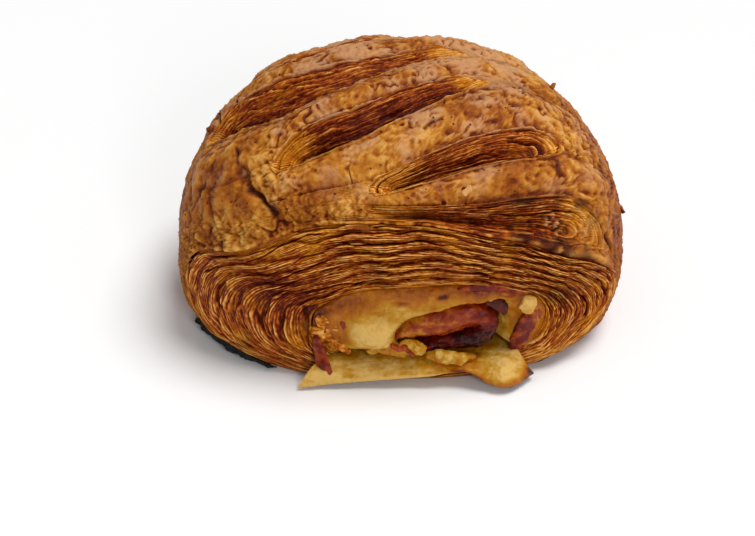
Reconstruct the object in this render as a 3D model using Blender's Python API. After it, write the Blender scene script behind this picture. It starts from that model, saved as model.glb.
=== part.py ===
"""Ham and cheese croissant: a flattened roll of laminated dough with its filling at both ends.

Its top is scored. The roll lies along Y with its shown end towards -Y. The origin is on the surface that
it stands on, under the middle of the roll. Lengths are millimetres until a mesh is made.
"""

import math

import bpy
import numpy as np
from mathutils import Vector, noise

MM = 0.001

# The roll's outer form, as a rounded dome cut flat underneath
WIDTH = 130.0
HEIGHT = 74.0
FRONT_DEPTH = 52.0
BACK_DEPTH = 61.0
WIDEST_LEVEL = 17.7
UNDERCUT = 39.0
ROUNDNESS = 2.15
FRONT_ROUNDNESS = 2.7
BASE_EDGE_RADIUS = 3.0
AXIS_LEVEL = 22.0
FRONT_CENTRE = (5.0, -12.0, 20.0)
BACK_CENTRE = (0.0, 12.0, 20.0)
UNEVENNESS = 1.0

# The crust's front and back edges, as places (across, back)
FRONT_EDGE = (
    (-65.0, -22.0), (-45.0, -38.5), (-20.0, -44.0), (5.0, -45.6),
    (30.0, -43.6), (50.0, -36.0), (58.0, -28.8), (65.0, -18.0),
)
BACK_EDGE = (
    (-65.0, 22.0), (-45.0, 36.0), (-20.0, 46.0), (5.0, 49.0),
    (30.0, 46.0), (50.0, 38.0), (65.0, 27.0),
)

# The scores, from the front: places (across, back, half width) along each, and its depth
SCORES = (
    (
        (
            (-65.0, -20.5, 0.0), (-45.0, -37.0, 0.0), (-20.0, -42.4, 0.0), (5.0, -44.1, 0.8),
            (25.0, -42.0, 2.0), (46.0, -33.8, 3.8), (58.0, -26.6, 0.0), (65.0, -15.6, 0.0),
        ),
        5.0,
    ),
    (
        (
            (-65.0, -18.0, 0.0), (-45.0, -34.4, 0.0), (-20.0, -40.2, 0.0), (-9.0, -40.2, 0.0),
            (7.5, -36.5, 2.6), (25.0, -29.0, 4.2), (36.0, -23.0, 5.0), (46.0, -18.0, 0.0), (65.0, -4.0, 0.0),
        ),
        6.0,
    ),
    (
        (
            (-65.0, -12.0, 0.0), (-45.0, -29.5, 0.0), (-34.5, -30.0, 0.0), (-26.0, -28.0, 5.0),
            (-10.0, -24.7, 5.4), (3.0, -17.2, 6.0), (15.0, -9.5, 5.6), (31.0, -0.8, 0.0), (65.0, 8.0, 0.0),
        ),
        7.0,
    ),
    (
        (
            (-65.0, -1.0, 0.0), (-57.0, 0.0, 0.0), (-48.0, -1.8, 9.0), (-32.0, -5.8, 11.5),
            (-12.0, -2.6, 7.6), (3.0, 5.0, 4.2), (10.0, 9.5, 4.8), (25.0, 13.0, 0.0), (65.0, 16.0, 0.0),
        ),
        8.0,
    ),
    (
        (
            (-65.0, 12.0, 0.0), (-44.0, 17.0, 0.0), (-30.0, 20.0, 5.5), (10.0, 29.0, 6.0),
            (38.0, 33.0, 0.0), (65.0, 24.0, 0.0),
        ),
        6.0,
    ),
)
LEAST_HALF_WIDTH = 1.0
# Across a score, from its front lip (-1) to its back lip (1): (place, share of the depth)
SCORE_PROFILE = (
    (-1.0, -0.10),
    (-0.80, 0.72),
    (-0.60, 1.0),
    (-0.28, 0.55),
    (-0.16, 0.80),
    (0.22, 0.30),
    (0.34, 0.58),
    (0.78, 0.06),
    (1.0, -0.06),
)
STRIP_PLACES = ((0.5,), (0.3, 0.7), (0.3, 0.7), (0.3, 0.7), (0.3, 0.7), (0.3, 0.7))
STRIP_PUFF = 2.0
STRIP_SINK = 0.5
SIDE_PUFF = 0.3

# The mouths: middle across and up, half width and half height
FRONT_MOUTH = (8.0, 17.0, 32.5, 14.0)
BACK_MOUTH = (-2.0, 17.0, 26.0, 12.0)
MOUTH_POWER = 2.3
MOUTH_RECESS = 4.5
FRONT_LAYERS = 8
BACK_LAYERS = 3
# Across a layer, from its valley: (place, share of the relief)
LAYER_PROFILE = ((0.0, -0.6), (0.45, 0.1), (0.85, 1.0))
LAYER_RELIEF = 1.5
LAYER_WANDER = 0.045
TUNNEL_ROWS = 3

# Columns round the roll: most lie over the arch, few under the base
ARCH_COLUMNS = 50
BASE_COLUMNS = 10
ARCH_SPAN = math.radians(112.0)

# The filling
CLEARANCE = 0.8
SHEET_TOP = 8.0
SHEET_HALF_WIDTH = 24.5
SHEET_PLACES = 21
LINING_THICKNESS = 2.0
FOLD_CENTRE = (13.0, 15.8)
FOLD_HALF_WIDTH = 15.0
FOLD_HALF_HEIGHT = 6.8
CORE_BULGE = 2.0

# The tongue of cheese that hangs from the mouth: along its tip, (across, back, up, half thickness)
TONGUE_TIP = (
    (-28.5, -51.4, 0.9, 0.45),
    (-20.0, -51.3, 1.6, 0.60),
    (-10.0, -51.2, 2.4, 0.65),
    (8.0, -50.8, 3.9, 0.75),
    (19.0, -50.2, 4.9, 1.1),
    (25.0, -50.6, 1.7, 2.2),
    (31.0, -50.8, 1.2, 2.4),
    (37.5, -46.8, 2.4, 1.5),
)
TONGUE_STEPS = (0.35, 0.65, 0.88, 1.0)


def dome(points):
    """The dome's level at each point: 1 on its surface, less inside."""
    x, y, z = points[..., 0], points[..., 1], points[..., 2] - WIDEST_LEVEL
    tall = np.where(z > 0, HEIGHT - WIDEST_LEVEL, UNDERCUT)
    depth = np.where(
        y < 0,
        np.abs(y / FRONT_DEPTH) ** FRONT_ROUNDNESS,
        np.abs(y / BACK_DEPTH) ** ROUNDNESS,
    )
    return np.abs(2 * x / WIDTH) ** ROUNDNESS + depth + np.abs(z / tall) ** ROUNDNESS


def dome_normals(points):
    """Outward unit normals of the dome, from its gradient."""
    step = 0.05
    slopes = [dome(points + step * axis) - dome(points - step * axis) for axis in np.eye(3)]
    normals = np.stack(slopes, -1)
    return normals / np.linalg.norm(normals, axis=-1, keepdims=True)


def dome_depth(x, z, side):
    """y of the dome's front (side -1) or back (side 1) at (x, z)."""
    low, high = np.zeros_like(x), np.full_like(x, 80.0)
    for _ in range(40):
        middle = (low + high) / 2
        outside = dome(np.stack([x, side * middle, z], -1)) > 1.0
        high = np.where(outside, middle, high)
        low = np.where(outside, low, middle)
    return side * low


def soft_least(a, b, radius):
    """The lesser of a and b, rounded where they are within radius of each other."""
    blend = np.clip(0.5 + 0.5 * (b - a) / radius, 0.0, 1.0)
    return b + (a - b) * blend - radius * blend * (1.0 - blend)


def reach(place, drop, level):
    """How far each ray runs to the dome or the base.

    place(t) gives the points at t along the rays, and drop is their fall for each unit of t.
    """
    low, high = np.zeros_like(drop), np.full_like(drop, 150.0)
    for _ in range(40):
        middle = (low + high) / 2
        outside = dome(place(middle)) > 1.0
        high = np.where(outside, middle, high)
        low = np.where(outside, low, middle)
    to_base = np.where(drop > 1e-6, level / np.maximum(drop, 1e-6), 1e6)
    return soft_least(low, np.minimum(to_base, 400.0), BASE_EDGE_RADIUS)


def smooth_through(places, values, x):
    """A smooth curve through (places, values), level beyond its ends."""
    places, values = np.asarray(places), np.asarray(values)
    slopes = np.gradient(values, places)
    x = np.clip(x, places[0], places[-1])
    i = np.clip(np.searchsorted(places, x) - 1, 0, len(places) - 2)
    gap = places[i + 1] - places[i]
    t = (x - places[i]) / gap
    return (
        (2 * t**3 - 3 * t**2 + 1) * values[i]
        + (t**3 - 2 * t**2 + t) * gap * slopes[i]
        + (3 * t**2 - 2 * t**3) * values[i + 1]
        + (t**3 - t**2) * gap * slopes[i + 1]
    )


def columns():
    """Angles round the roll from straight up, clockwise as seen from the front."""
    arch = np.linspace(-ARCH_SPAN, ARCH_SPAN, ARCH_COLUMNS, endpoint=False)
    under = np.linspace(ARCH_SPAN, 2 * math.pi - ARCH_SPAN, BASE_COLUMNS, endpoint=False)
    return np.concatenate([arch, under])


def edge_line(edge, x):
    """How far back a crust edge lies at x."""
    across, back = np.array(edge).T
    return smooth_through(across, back, x)


def score_line(score, place, x):
    """How far back the place (-1 front lip, 1 back lip) across a score lies at x."""
    across, back, _ = np.array(score[0]).T
    return smooth_through(across, back, x) + place * np.maximum(score_opening(score, x), LEAST_HALF_WIDTH)


def score_opening(score, x):
    """A score's half width at x."""
    across, _, half = np.array(score[0]).T
    return np.maximum(np.interp(x, across, half), 0.0)


def row_points(angles, line):
    """A row round the roll: points of the dome in the directions angles, at y = line(x)."""
    sides, ups = np.sin(angles), np.cos(angles)

    def place(t):
        x = t * sides
        return np.stack([x, line(x), AXIS_LEVEL + t * ups], -1)

    points = place(reach(place, -ups, AXIS_LEVEL))
    points[:, 2] = np.maximum(points[:, 2], 0.0)
    return points


def mouth_outline(mouth, angles, inset=0.0):
    """(x, z) of a mouth's rim at angles."""
    middle_x, middle_z, half_width, half_height = mouth
    half_width, half_height = half_width - inset, half_height - inset
    sides, ups = np.sin(angles), np.cos(angles)
    far = (
        np.abs(sides / half_width) ** MOUTH_POWER + np.abs(ups / half_height) ** MOUTH_POWER
    ) ** (-1 / MOUTH_POWER)
    return middle_x + far * sides, middle_z + far * ups


def end_rows(mouth, edge, centre, angles, side, shares):
    """Rows over an end of the roll, from its mouth (share 0) to the crust edge (share 1), on the dome."""
    x, z = mouth_outline(mouth, angles)
    rim = np.stack([x, dome_depth(x, z, side), z], -1)
    centre = np.array(centre)
    rows = []
    for share in shares:
        aims = rim + (edge - rim) * share[:, None] - centre
        aims /= np.linalg.norm(aims, axis=1, keepdims=True)
        far = reach(lambda t, aims=aims: centre + aims * t[:, None], -aims[:, 2], centre[2])
        points = centre + aims * far[:, None]
        points[:, 2] = np.maximum(points[:, 2], 0.0)
        rows.append(points)
    return rows


def wander(points, seed, size):
    """Smooth noise from -1 to 1 at each point, with features of about size."""
    return np.array([noise.noise(Vector(p / size) + Vector((seed, seed, seed))) for p in points])


def clear_of_base(points):
    """0 on the flat base, rising to 1 a little above it, so that relief leaves the base flat."""
    return np.clip((points[:, 2] - 1.0) / 6.0, 0.0, 1.0)


def moved_out(points, distances):
    """The points moved out of the dome by distances, less near the base."""
    return points + dome_normals(points) * (distances * clear_of_base(points))[:, None]


def layered_end(mouth, edge, centre, angles, side, layers):
    """Rows of nested dough layers on an end of the roll, from its mouth out."""
    middle = end_rows(mouth, edge, centre, angles, side, [np.full(len(angles), 0.5)])[0]
    shares, lifts, recesses = [], [], []
    for layer in range(layers):
        drift = wander(middle, 11.0 + layer, 14.0)
        strength = 0.75 + 0.5 * wander(middle, 31.0 + layer, 9.0)
        for place, lift in LAYER_PROFILE:
            share = (layer + place) / layers
            steady = min(4.0 * min(share, 1.0 - share), 1.0)
            shares.append(np.clip(share + LAYER_WANDER * drift * steady, 0.0, 1.0))
            lifts.append(LAYER_RELIEF * lift * strength * (share > 0.0))
            recesses.append(MOUTH_RECESS * (1.0 - share) ** 2)
    shaped = []
    for points, lift, recess in zip(end_rows(mouth, edge, centre, angles, side, shares), lifts, recesses):
        raised = moved_out(points, lift)
        raised[:, 1] -= side * recess
        shaped.append(raised)
    return shaped


def scored_top(angles):
    """Rows over the top: strips of crust with the scores open between them."""
    above = np.clip(np.cos(angles) * 2.5, 0.0, 1.0)
    lines = [lambda x: edge_line(FRONT_EDGE, x)]
    for score in SCORES:
        lines += [lambda x, s=score: score_line(s, -1.0, x), lambda x, s=score: score_line(s, 1.0, x)]
    lines.append(lambda x: edge_line(BACK_EDGE, x))
    rows = [uneven(row_points(angles, lines[0]))]
    for number, places in enumerate(STRIP_PLACES):
        start, end = lines[2 * number], lines[2 * number + 1]
        for place in places:
            points = row_points(angles, lambda x, p=place: start(x) + (end(x) - start(x)) * p)
            puff = STRIP_PUFF * math.sin(math.pi * place) - STRIP_SINK
            puff = puff * (SIDE_PUFF + (1 - SIDE_PUFF) * above)
            rows.append(uneven(moved_out(points, puff)))
        if number < len(SCORES):
            rows += score_rows(SCORES[number], angles, above)
    return rows


def score_rows(score, angles, above):
    """Rows across a score, sunk where it is open."""
    rows = []
    for place, share in SCORE_PROFILE:
        points = row_points(angles, lambda x, p=place: score_line(score, p, x))
        opened = np.clip(score_opening(score, points[:, 0]) / 2.5, 0.0, 1.0) * above
        rows.append(uneven(moved_out(points, -score[1] * share * opened)))
    return rows


def uneven(points):
    """The points moved by the crust's broad unevenness."""
    return moved_out(points, UNEVENNESS * wander(points, 5.0, 16.0))


def tunnel_place(x, z, along):
    """Carries (x, z), set out at the front mouth, to a share along the tapering tunnel (0 front, 1 back)."""
    back_x = BACK_MOUTH[0] + (x - FRONT_MOUTH[0]) * BACK_MOUTH[2] / FRONT_MOUTH[2]
    back_z = BACK_MOUTH[1] + (z - FRONT_MOUTH[1]) * BACK_MOUTH[3] / FRONT_MOUTH[3]
    front = np.stack([x, dome_depth(x, z, -1) + MOUTH_RECESS, z], -1)
    back = np.stack([back_x, dome_depth(back_x, back_z, 1) - MOUTH_RECESS, back_z], -1)
    return front + (back - front) * along


def tunnel_rows(front, back):
    """Rows of the filled tunnel, from the back mouth to the front one."""
    shares = [(i + 1) / (TUNNEL_ROWS + 1) for i in range(TUNNEL_ROWS)]
    return [back + (front - back) * share for share in shares]


def ring_mesh(rows):
    """Points and quads of rows that close round the roll, and through its tunnel."""
    count, around = len(rows), len(rows[0])
    quads = []
    for i in range(count):
        below, above = i * around, (i + 1) % count * around
        for j in range(around):
            k = (j + 1) % around
            quads.append((below + j, below + k, above + k, above + j))
    return np.concatenate(rows), quads


def slab_mesh(lower, upper):
    """Points and quads of a closed slab between two grids of points of the same shape (stations, places, 3)."""
    stations, places = lower.shape[:2]
    size = stations * places

    def at(side, i, j):
        return side * size + i * places + j

    quads = []
    for i in range(stations - 1):
        for j in range(places - 1):
            quads.append((at(0, i, j), at(0, i, j + 1), at(0, i + 1, j + 1), at(0, i + 1, j)))
            quads.append((at(1, i, j), at(1, i + 1, j), at(1, i + 1, j + 1), at(1, i, j + 1)))
    for i in range(stations - 1):
        for j, first, last in ((0, i, i + 1), (places - 1, i + 1, i)):
            quads.append((at(0, first, j), at(0, last, j), at(1, last, j), at(1, first, j)))
    for j in range(places - 1):
        for i, first, last in ((0, j + 1, j), (stations - 1, j, j + 1)):
            quads.append((at(0, i, first), at(0, i, last), at(1, i, last), at(1, i, first)))
    return np.concatenate([lower.reshape(-1, 3), upper.reshape(-1, 3)]), quads


def through_food(inner, outer, bulge, stations=5, end_thinning=0.55):
    """A slab through the tunnel between two outlines (x, z) drawn at the front mouth, thinner at its two ends.

    bulge is how far it stands out of both mouths at each place of the outlines.
    """
    grids = ([], [])
    middle = [(a + b) / 2 for a, b in zip(inner, outer)]
    for i in range(stations):
        along = i / (stations - 1)
        thin = end_thinning if i in (0, stations - 1) else 1.0
        for grid, outline in zip(grids, (inner, outer)):
            x = middle[0] + (outline[0] - middle[0]) * thin
            z = middle[1] + (outline[1] - middle[1]) * thin
            points = tunnel_place(x, z, along)
            points[:, 1] += bulge * (2 * along - 1)
            grid.append(points)
    return slab_mesh(np.array(grids[0]), np.array(grids[1]))


def lining():
    """The ham slice that lines the roof of the tunnel."""
    angles = np.radians(np.linspace(-104.0, 103.0, 23))
    floor = SHEET_TOP + CLEARANCE
    outlines = []
    for inset in (CLEARANCE + LINING_THICKNESS, CLEARANCE):
        x, z = mouth_outline(FRONT_MOUTH, angles, inset)
        outlines.append((x, np.maximum(z, floor)))
    return through_food(*outlines, np.full(23, 0.4))


def fold_rim(angles, grow):
    """(x, z) round the folded ham, grown by grow."""
    sides, ups = np.sin(angles), np.cos(angles)
    half_width, half_height = FOLD_HALF_WIDTH + grow, FOLD_HALF_HEIGHT + grow
    far = ((np.abs(sides) / half_width) ** 3 + (np.abs(ups) / half_height) ** 3) ** (-1 / 3)
    return FOLD_CENTRE[0] + far * sides, FOLD_CENTRE[1] + far * ups


def core():
    """The melted cheese that wraps the folded ham inside the lining, thickest at the left."""
    angles = np.radians(np.linspace(-97.0, 97.0, 19))
    floor = SHEET_TOP + CLEARANCE
    inner = fold_rim(angles, CLEARANCE)
    roof = mouth_outline(FRONT_MOUTH, angles, LINING_THICKNESS + 2 * CLEARANCE)
    outlines = ((inner[0], np.maximum(inner[1], floor)), (roof[0], np.maximum(roof[1], floor)))
    leftness = np.clip(-np.sin(angles), 0.0, 1.0)
    return through_food(*outlines, 0.4 + CORE_BULGE * leftness, 5, 0.85)


def fold():
    """The ham folded back on itself, its fold towards +X and its upper half thicker."""
    along = np.linspace(0.0, 1.0, 19)
    turn = math.pi * np.clip((along - 0.38) / 0.24, 0.0, 1.0)
    lower, upper = np.clip(1 - along / 0.38, 0.0, 1.0), np.clip((along - 0.62) / 0.38, 0.0, 1.0)
    bend = FOLD_HALF_HEIGHT * 0.58
    arm = 2 * FOLD_HALF_WIDTH - FOLD_HALF_HEIGHT - 3.0
    tip = FOLD_CENTRE[0] + FOLD_HALF_WIDTH - FOLD_HALF_HEIGHT
    x = tip + bend * np.sin(turn) - arm * lower - (arm - 3.5) * upper
    z = FOLD_CENTRE[1] - bend * np.cos(turn) - 1.0 * upper
    thickness = 4.8 + 0.6 * upper - 1.8 * lower**3 - 2.6 * upper**4
    run_x, run_z = np.gradient(x), np.gradient(z)
    length = np.hypot(run_x, run_z)
    side_x, side_z = -run_z / length * thickness / 2, run_x / length * thickness / 2
    return through_food((x + side_x, z + side_z), (x - side_x, z - side_z), np.full(19, 0.8))


def tunnel_floor(offset):
    """Height of the tunnel's floor, with clearance, at a distance from its middle."""
    share = np.clip(np.abs(offset) / (FRONT_MOUTH[2] - CLEARANCE), 0.0, 1.0)
    drop = (1 - share**MOUTH_POWER) ** (1 / MOUTH_POWER)
    return FRONT_MOUTH[1] - (FRONT_MOUTH[3] - CLEARANCE) * drop


def cheese_sheet():
    """The cheese under the ham. It runs through the roll and hangs out of the front as a tongue down to the floor."""
    across = np.linspace(-1.0, 1.0, SHEET_PLACES)
    offset = SHEET_HALF_WIDTH * across
    x = FRONT_MOUTH[0] + offset
    top = np.full(SHEET_PLACES, SHEET_TOP)
    under = np.minimum(tunnel_floor(offset), SHEET_TOP - 0.8)
    lower, upper = [], []
    for along in (1.0, 0.85, 0.6, 0.3, 0.08, 0.0):
        upper.append(tunnel_place(x, top, along))
        lower.append(tunnel_place(x, under, along))
    hang_tongue(across, lower, upper)
    return slab_mesh(np.array(lower), np.array(upper))


def hang_tongue(across, lower, upper):
    """Adds the sections of the tongue, which spreads as it bends down from the mouth to its tip."""
    tip_x, tip_y, tip_z, tip_half = np.array(TONGUE_TIP).T
    end_x = tip_x[0] + (tip_x[-1] - tip_x[0]) * (across + 1) / 2
    end_y, end_z, end_half = (smooth_through(tip_x, values, end_x) for values in (tip_y, tip_z, tip_half))
    start = (lower[-1] + upper[-1]) / 2
    start_half = (upper[-1][:, 2] - lower[-1][:, 2]) / 2
    for step in TONGUE_STEPS:
        out, down = math.sin(step * math.pi / 2), 1 - math.cos(step * math.pi / 2)
        spread = step**1.5
        middle = np.stack(
            [
                start[:, 0] + (end_x - start[:, 0]) * spread,
                start[:, 1] + (end_y - start[:, 1]) * out,
                start[:, 2] + (end_z - start[:, 2]) * down,
            ],
            -1,
        )
        half = start_half + (end_half - start_half) * min(1.4 * step, 1.0)
        half = half * (0.6 if step == 1.0 else 1.0)
        tilt = math.radians(15 + 55 * step)
        side = np.array([0.0, -math.sin(tilt), math.cos(tilt)])
        upper.append(middle + side * half[:, None])
        lower.append(middle - side * half[:, None])


def foot_radius(x_way, y_way, z):
    """Distance from the origin to the dome at height z, along a horizontal direction."""
    low, high = np.zeros_like(x_way), np.full_like(x_way, 90.0)
    for _ in range(40):
        middle = (low + high) / 2
        outside = dome(np.stack([middle * x_way, middle * y_way, np.full_like(x_way, z)], -1)) > 1.0
        high = np.where(outside, middle, high)
        low = np.where(outside, low, middle)
    return low


def burnt_rim():
    """Burnt cheese that ran out under the left side: a ragged crust on the floor along the foot of the roll."""
    along = np.linspace(0.0, 1.0, 19)
    angles = np.radians(194.0 + 36.0 * along)
    ragged = 0.6 * np.sin(along * 47.0) + 0.4 * np.sin(along * 83.0 + 1.0)
    fade = np.sin(math.pi * np.clip(along, 0.05, 0.95)) ** 0.5
    x_way, y_way = np.cos(angles), np.sin(angles)
    lower, upper = [], []
    # Each section: height on the foot, thickness there and how ragged it is
    for level, thickness, rough in ((0.15, 1.2, 0.4), (2.2, 1.5, 0.7), (4.6, 0.8, 0.3)):
        z = 0.15 + (level - 0.15) * fade * (1 + 0.18 * ragged)
        near = foot_radius(x_way, y_way, level) + 0.6 + 0.25 * level
        far = near + thickness * (0.4 + 0.6 * fade) + rough * ragged * 0.5
        lower.append(np.stack([near * x_way, near * y_way, z], -1))
        upper.append(np.stack([far * x_way, far * y_way, z + 0.1], -1))
    return slab_mesh(np.array(lower), np.array(upper))


def pastry():
    angles = columns()
    top = scored_top(angles)
    back_edge = row_points(angles, lambda x: edge_line(BACK_EDGE, x))
    front_edge = row_points(angles, lambda x: edge_line(FRONT_EDGE, x))
    front = layered_end(FRONT_MOUTH, front_edge, FRONT_CENTRE, angles, -1, FRONT_LAYERS)
    back = layered_end(BACK_MOUTH, back_edge, BACK_CENTRE, angles, 1, BACK_LAYERS)
    return ring_mesh(front + top + [back_edge] + back[::-1] + tunnel_rows(front[0], back[0]))


def add_node(name, shape, material):
    """An object of that name from (points in millimetres, quads), closed and with its faces pointing out."""
    points, quads = shape
    mesh = bpy.data.meshes.new(name)
    mesh.from_pydata([tuple(p * MM) for p in points], [], quads)
    volume = sum(
        mesh.vertices[f.vertices[0]].co.dot(
            mesh.vertices[f.vertices[i]].co.cross(mesh.vertices[f.vertices[i + 1]].co)
        )
        for f in mesh.polygons
        for i in range(1, len(f.vertices) - 1)
    )
    if volume < 0:
        mesh.flip_normals()
    mesh.materials.append(material)
    made = bpy.data.objects.new(name, mesh)
    bpy.context.scene.collection.objects.link(made)
    return made


def add_material(name, colour, roughness):
    material = bpy.data.materials.new(name)
    material.use_nodes = True
    shader = material.node_tree.nodes["Principled BSDF"]
    shader.inputs["Base Color"].default_value = (*colour, 1.0)
    shader.inputs["Roughness"].default_value = roughness
    shader.inputs["Metallic"].default_value = 0.0
    return material


def main():
    for old in list(bpy.data.objects):
        bpy.data.objects.remove(old)
    crust = add_material("baked_dough", (0.52, 0.25, 0.07), 0.45)
    ham = add_material("ham", (0.33, 0.06, 0.03), 0.3)
    cheese = add_material("melted_cheese", (0.72, 0.52, 0.18), 0.35)
    burnt = add_material("burnt_cheese", (0.03, 0.025, 0.02), 0.5)
    add_node("pastry", pastry(), crust)
    add_node("ham_lining", lining(), ham)
    add_node("ham_fold", fold(), ham)
    add_node("cheese_core", core(), cheese)
    add_node("cheese_sheet", cheese_sheet(), cheese)
    add_node("burnt_cheese", burnt_rim(), burnt)


main()
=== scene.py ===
"""Looks of the ham and cheese croissant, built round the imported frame.

Lengths are in millimetres until a mesh is made.
"""

import math

import bpy
import numpy as np
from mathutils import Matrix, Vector


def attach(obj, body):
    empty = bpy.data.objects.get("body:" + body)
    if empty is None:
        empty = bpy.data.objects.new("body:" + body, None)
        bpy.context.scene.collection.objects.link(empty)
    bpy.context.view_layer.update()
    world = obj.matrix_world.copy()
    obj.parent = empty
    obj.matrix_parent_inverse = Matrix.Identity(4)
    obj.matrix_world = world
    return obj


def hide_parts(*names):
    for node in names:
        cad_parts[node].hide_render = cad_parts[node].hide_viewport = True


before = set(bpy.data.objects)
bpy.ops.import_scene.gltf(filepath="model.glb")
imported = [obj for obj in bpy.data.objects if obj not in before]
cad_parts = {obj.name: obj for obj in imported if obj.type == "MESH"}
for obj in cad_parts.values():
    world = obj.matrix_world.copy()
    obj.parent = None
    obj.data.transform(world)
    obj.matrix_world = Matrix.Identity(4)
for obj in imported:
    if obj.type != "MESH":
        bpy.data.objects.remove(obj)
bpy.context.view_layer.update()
MM = 0.001

# Sizes shared with the solids
WIDTH = 130.0
HEIGHT = 74.0
FRONT_DEPTH = 52.0
BACK_DEPTH = 61.0
WIDEST_LEVEL = 17.7
UNDERCUT = 39.0
ROUNDNESS = 2.15
FRONT_ROUNDNESS = 2.7
BASE_EDGE_RADIUS = 3.0
AXIS_LEVEL = 22.0
FRONT_CENTRE = np.array([5.0, -12.0, 20.0])
BACK_CENTRE = np.array([0.0, 12.0, 20.0])
FRONT_EDGE = (
    (-65.0, -22.0), (-45.0, -38.5), (-20.0, -44.0), (5.0, -45.6),
    (30.0, -43.6), (50.0, -36.0), (58.0, -28.8), (65.0, -18.0),
)
BACK_EDGE = (
    (-65.0, 22.0), (-45.0, 36.0), (-20.0, 46.0), (5.0, 49.0),
    (30.0, 46.0), (50.0, 38.0), (65.0, 27.0),
)
# The scores, from the front: places (across, back, half width), depth, sheets in a wall, which ends curl
SCORES = (
    (
        (
            (-65.0, -20.5, 0.0), (-45.0, -37.0, 0.0), (-20.0, -42.4, 0.0), (-7.0, -43.9, 0.2),
            (5.0, -44.1, 0.9),
            (25.0, -42.0, 2.0), (46.0, -33.8, 3.8), (56.0, -28.0, 2.4), (58.5, -26.4, 0.0),
            (65.0, -15.6, 0.0),
        ),
        5.0,
        14,
        (0, 1),
    ),
    (
        (
            (-65.0, -18.0, 0.0), (-45.0, -34.4, 0.0), (-20.0, -40.2, 0.0), (-9.0, -40.2, 0.0),
            (-6.5, -40.0, 1.6),
            (7.5, -36.5, 2.8), (25.0, -29.0, 4.2), (36.0, -23.0, 5.0), (43.0, -19.4, 3.2), (46.0, -18.0, 0.0),
            (65.0, -4.0, 0.0),
        ),
        6.0,
        13,
        (1, 1),
    ),
    (
        (
            (-65.0, -12.0, 0.0), (-45.0, -29.5, 0.0), (-35.0, -30.0, 0.0), (-33.0, -29.8, 3.0),
            (-26.0, -28.0, 5.0),
            (-10.0, -24.7, 5.4), (3.0, -17.2, 6.0), (15.0, -9.5, 5.6), (23.0, -4.6, 3.6), (31.0, -0.8, 0.0),
            (65.0, 8.0, 0.0),
        ),
        7.0,
        15,
        (1, 0),
    ),
    (
        (
            (-65.0, -1.0, 0.0), (-57.0, 0.0, 0.0), (-54.0, -0.6, 4.0), (-48.0, -1.8, 9.0),
            (-32.0, -5.8, 11.5),
            (-12.0, -2.6, 7.6), (3.0, 5.0, 4.2), (10.0, 9.5, 4.8), (18.0, 11.6, 3.2), (25.0, 13.0, 0.0),
            (65.0, 16.0, 0.0),
        ),
        8.0,
        20,
        (1, 0),
    ),
    (
        (
            (-65.0, 12.0, 0.0), (-44.0, 17.0, 0.0), (-41.0, 17.8, 2.6), (-30.0, 20.0, 5.5), (10.0, 29.0, 6.0),
            (35.0, 32.8, 2.6), (38.0, 33.0, 0.0), (65.0, 24.0, 0.0),
        ),
        6.0,
        15,
        (1, 1),
    ),
)
# How much painted shade darkens each score's sheets towards its valley, from the front
SCORE_SHADES = (0.24, 0.24, 0.66, 0.36, 0.25)
LEAST_HALF_WIDTH = 1.0
VALLEY = -0.6
STRIP_PUFF = 2.0
STRIP_SINK = 0.5
SIDE_PUFF = 0.3
FRONT_MOUTH = (8.0, 17.0, 32.5, 14.0)
BACK_MOUTH = (-2.0, 17.0, 26.0, 12.0)
MOUTH_POWER = 2.3
MOUTH_RECESS = 4.5
TUNNEL_LENGTH = 100.0
CLEARANCE = 0.8
SHEET_TOP = 8.0
SHEET_HALF_WIDTH = 24.5
LINING_THICKNESS = 2.0
# The crust lines are worked out this far to each side, with this many places in a millimetre
LINE_REACH = 66.0
LINES_PER_MM = 10

# Rows of the fine surface, band by band from the front crust edge to the back one
BAND_ROWS = (4, 60, 24, 56, 28, 72, 28, 92, 28, 38, 30)
FRONT_ROWS = 180
BACK_ROWS = 56
ARCH_COLUMNS = 480
BASE_COLUMNS = 22
ARCH_SPAN = math.radians(112.0)
FRONT_SHEETS = 31
BACK_SHEETS = 14
# The pale curled ends of the scores: across, back, size
CURLED_ENDS = (
    (-55.0, -1.0, 3.0), (-31.0, -30.0, 8.0), (-4.0, -39.5, 10.0), (43.0, -20.0, 3.5), (52.0, -29.0, 10.0),
    (20.0, -5.0, 6.0), (16.0, 11.0, 8.0),
)


# Smooth noise

def gradient_table(seed):
    """A shuffled list of 256 places and 256 unit gradients."""
    draw = np.random.RandomState(seed)
    order = draw.permutation(256)
    gradients = draw.normal(size=(256, 3))
    return order, gradients / np.linalg.norm(gradients, axis=1, keepdims=True)


def wander(points, size, seed):
    """Smooth noise, about -1 to 1, with features of about size (one number, or one for each axis)."""
    order, gradients = gradient_table(seed)
    place = points / np.asarray(size) + 100.0
    cell = np.floor(place).astype(np.int64)
    part = place - cell
    ease = part * part * part * (part * (part * 6 - 15) + 10)
    total = np.zeros(points.shape[:-1])
    for dx in (0, 1):
        for dy in (0, 1):
            for dz in (0, 1):
                spot = order[(cell[..., 0] + dx) & 255]
                spot = order[(spot + cell[..., 1] + dy) & 255]
                spot = order[(spot + cell[..., 2] + dz) & 255]
                offset = part - np.array([dx, dy, dz])
                value = (gradients[spot] * offset).sum(-1)
                weight = (
                    (ease[..., 0] if dx else 1 - ease[..., 0])
                    * (ease[..., 1] if dy else 1 - ease[..., 1])
                    * (ease[..., 2] if dz else 1 - ease[..., 2])
                )
                total += value * weight
    return total * 1.6


def rough(points, size, seed, octaves=3):
    """Layered smooth noise, about -1 to 1."""
    total, share, size = 0.0, 0.0, np.asarray(size, dtype=float)
    for octave in range(octaves):
        total = total + wander(points, size / 2**octave, seed + octave) * 0.5**octave
        share += 0.5**octave
    return total / share


def ramp(value, low, high):
    """0 at low, 1 at high, eased between."""
    t = np.clip((value - low) / (high - low), 0.0, 1.0)
    return t * t * (3 - 2 * t)


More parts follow.
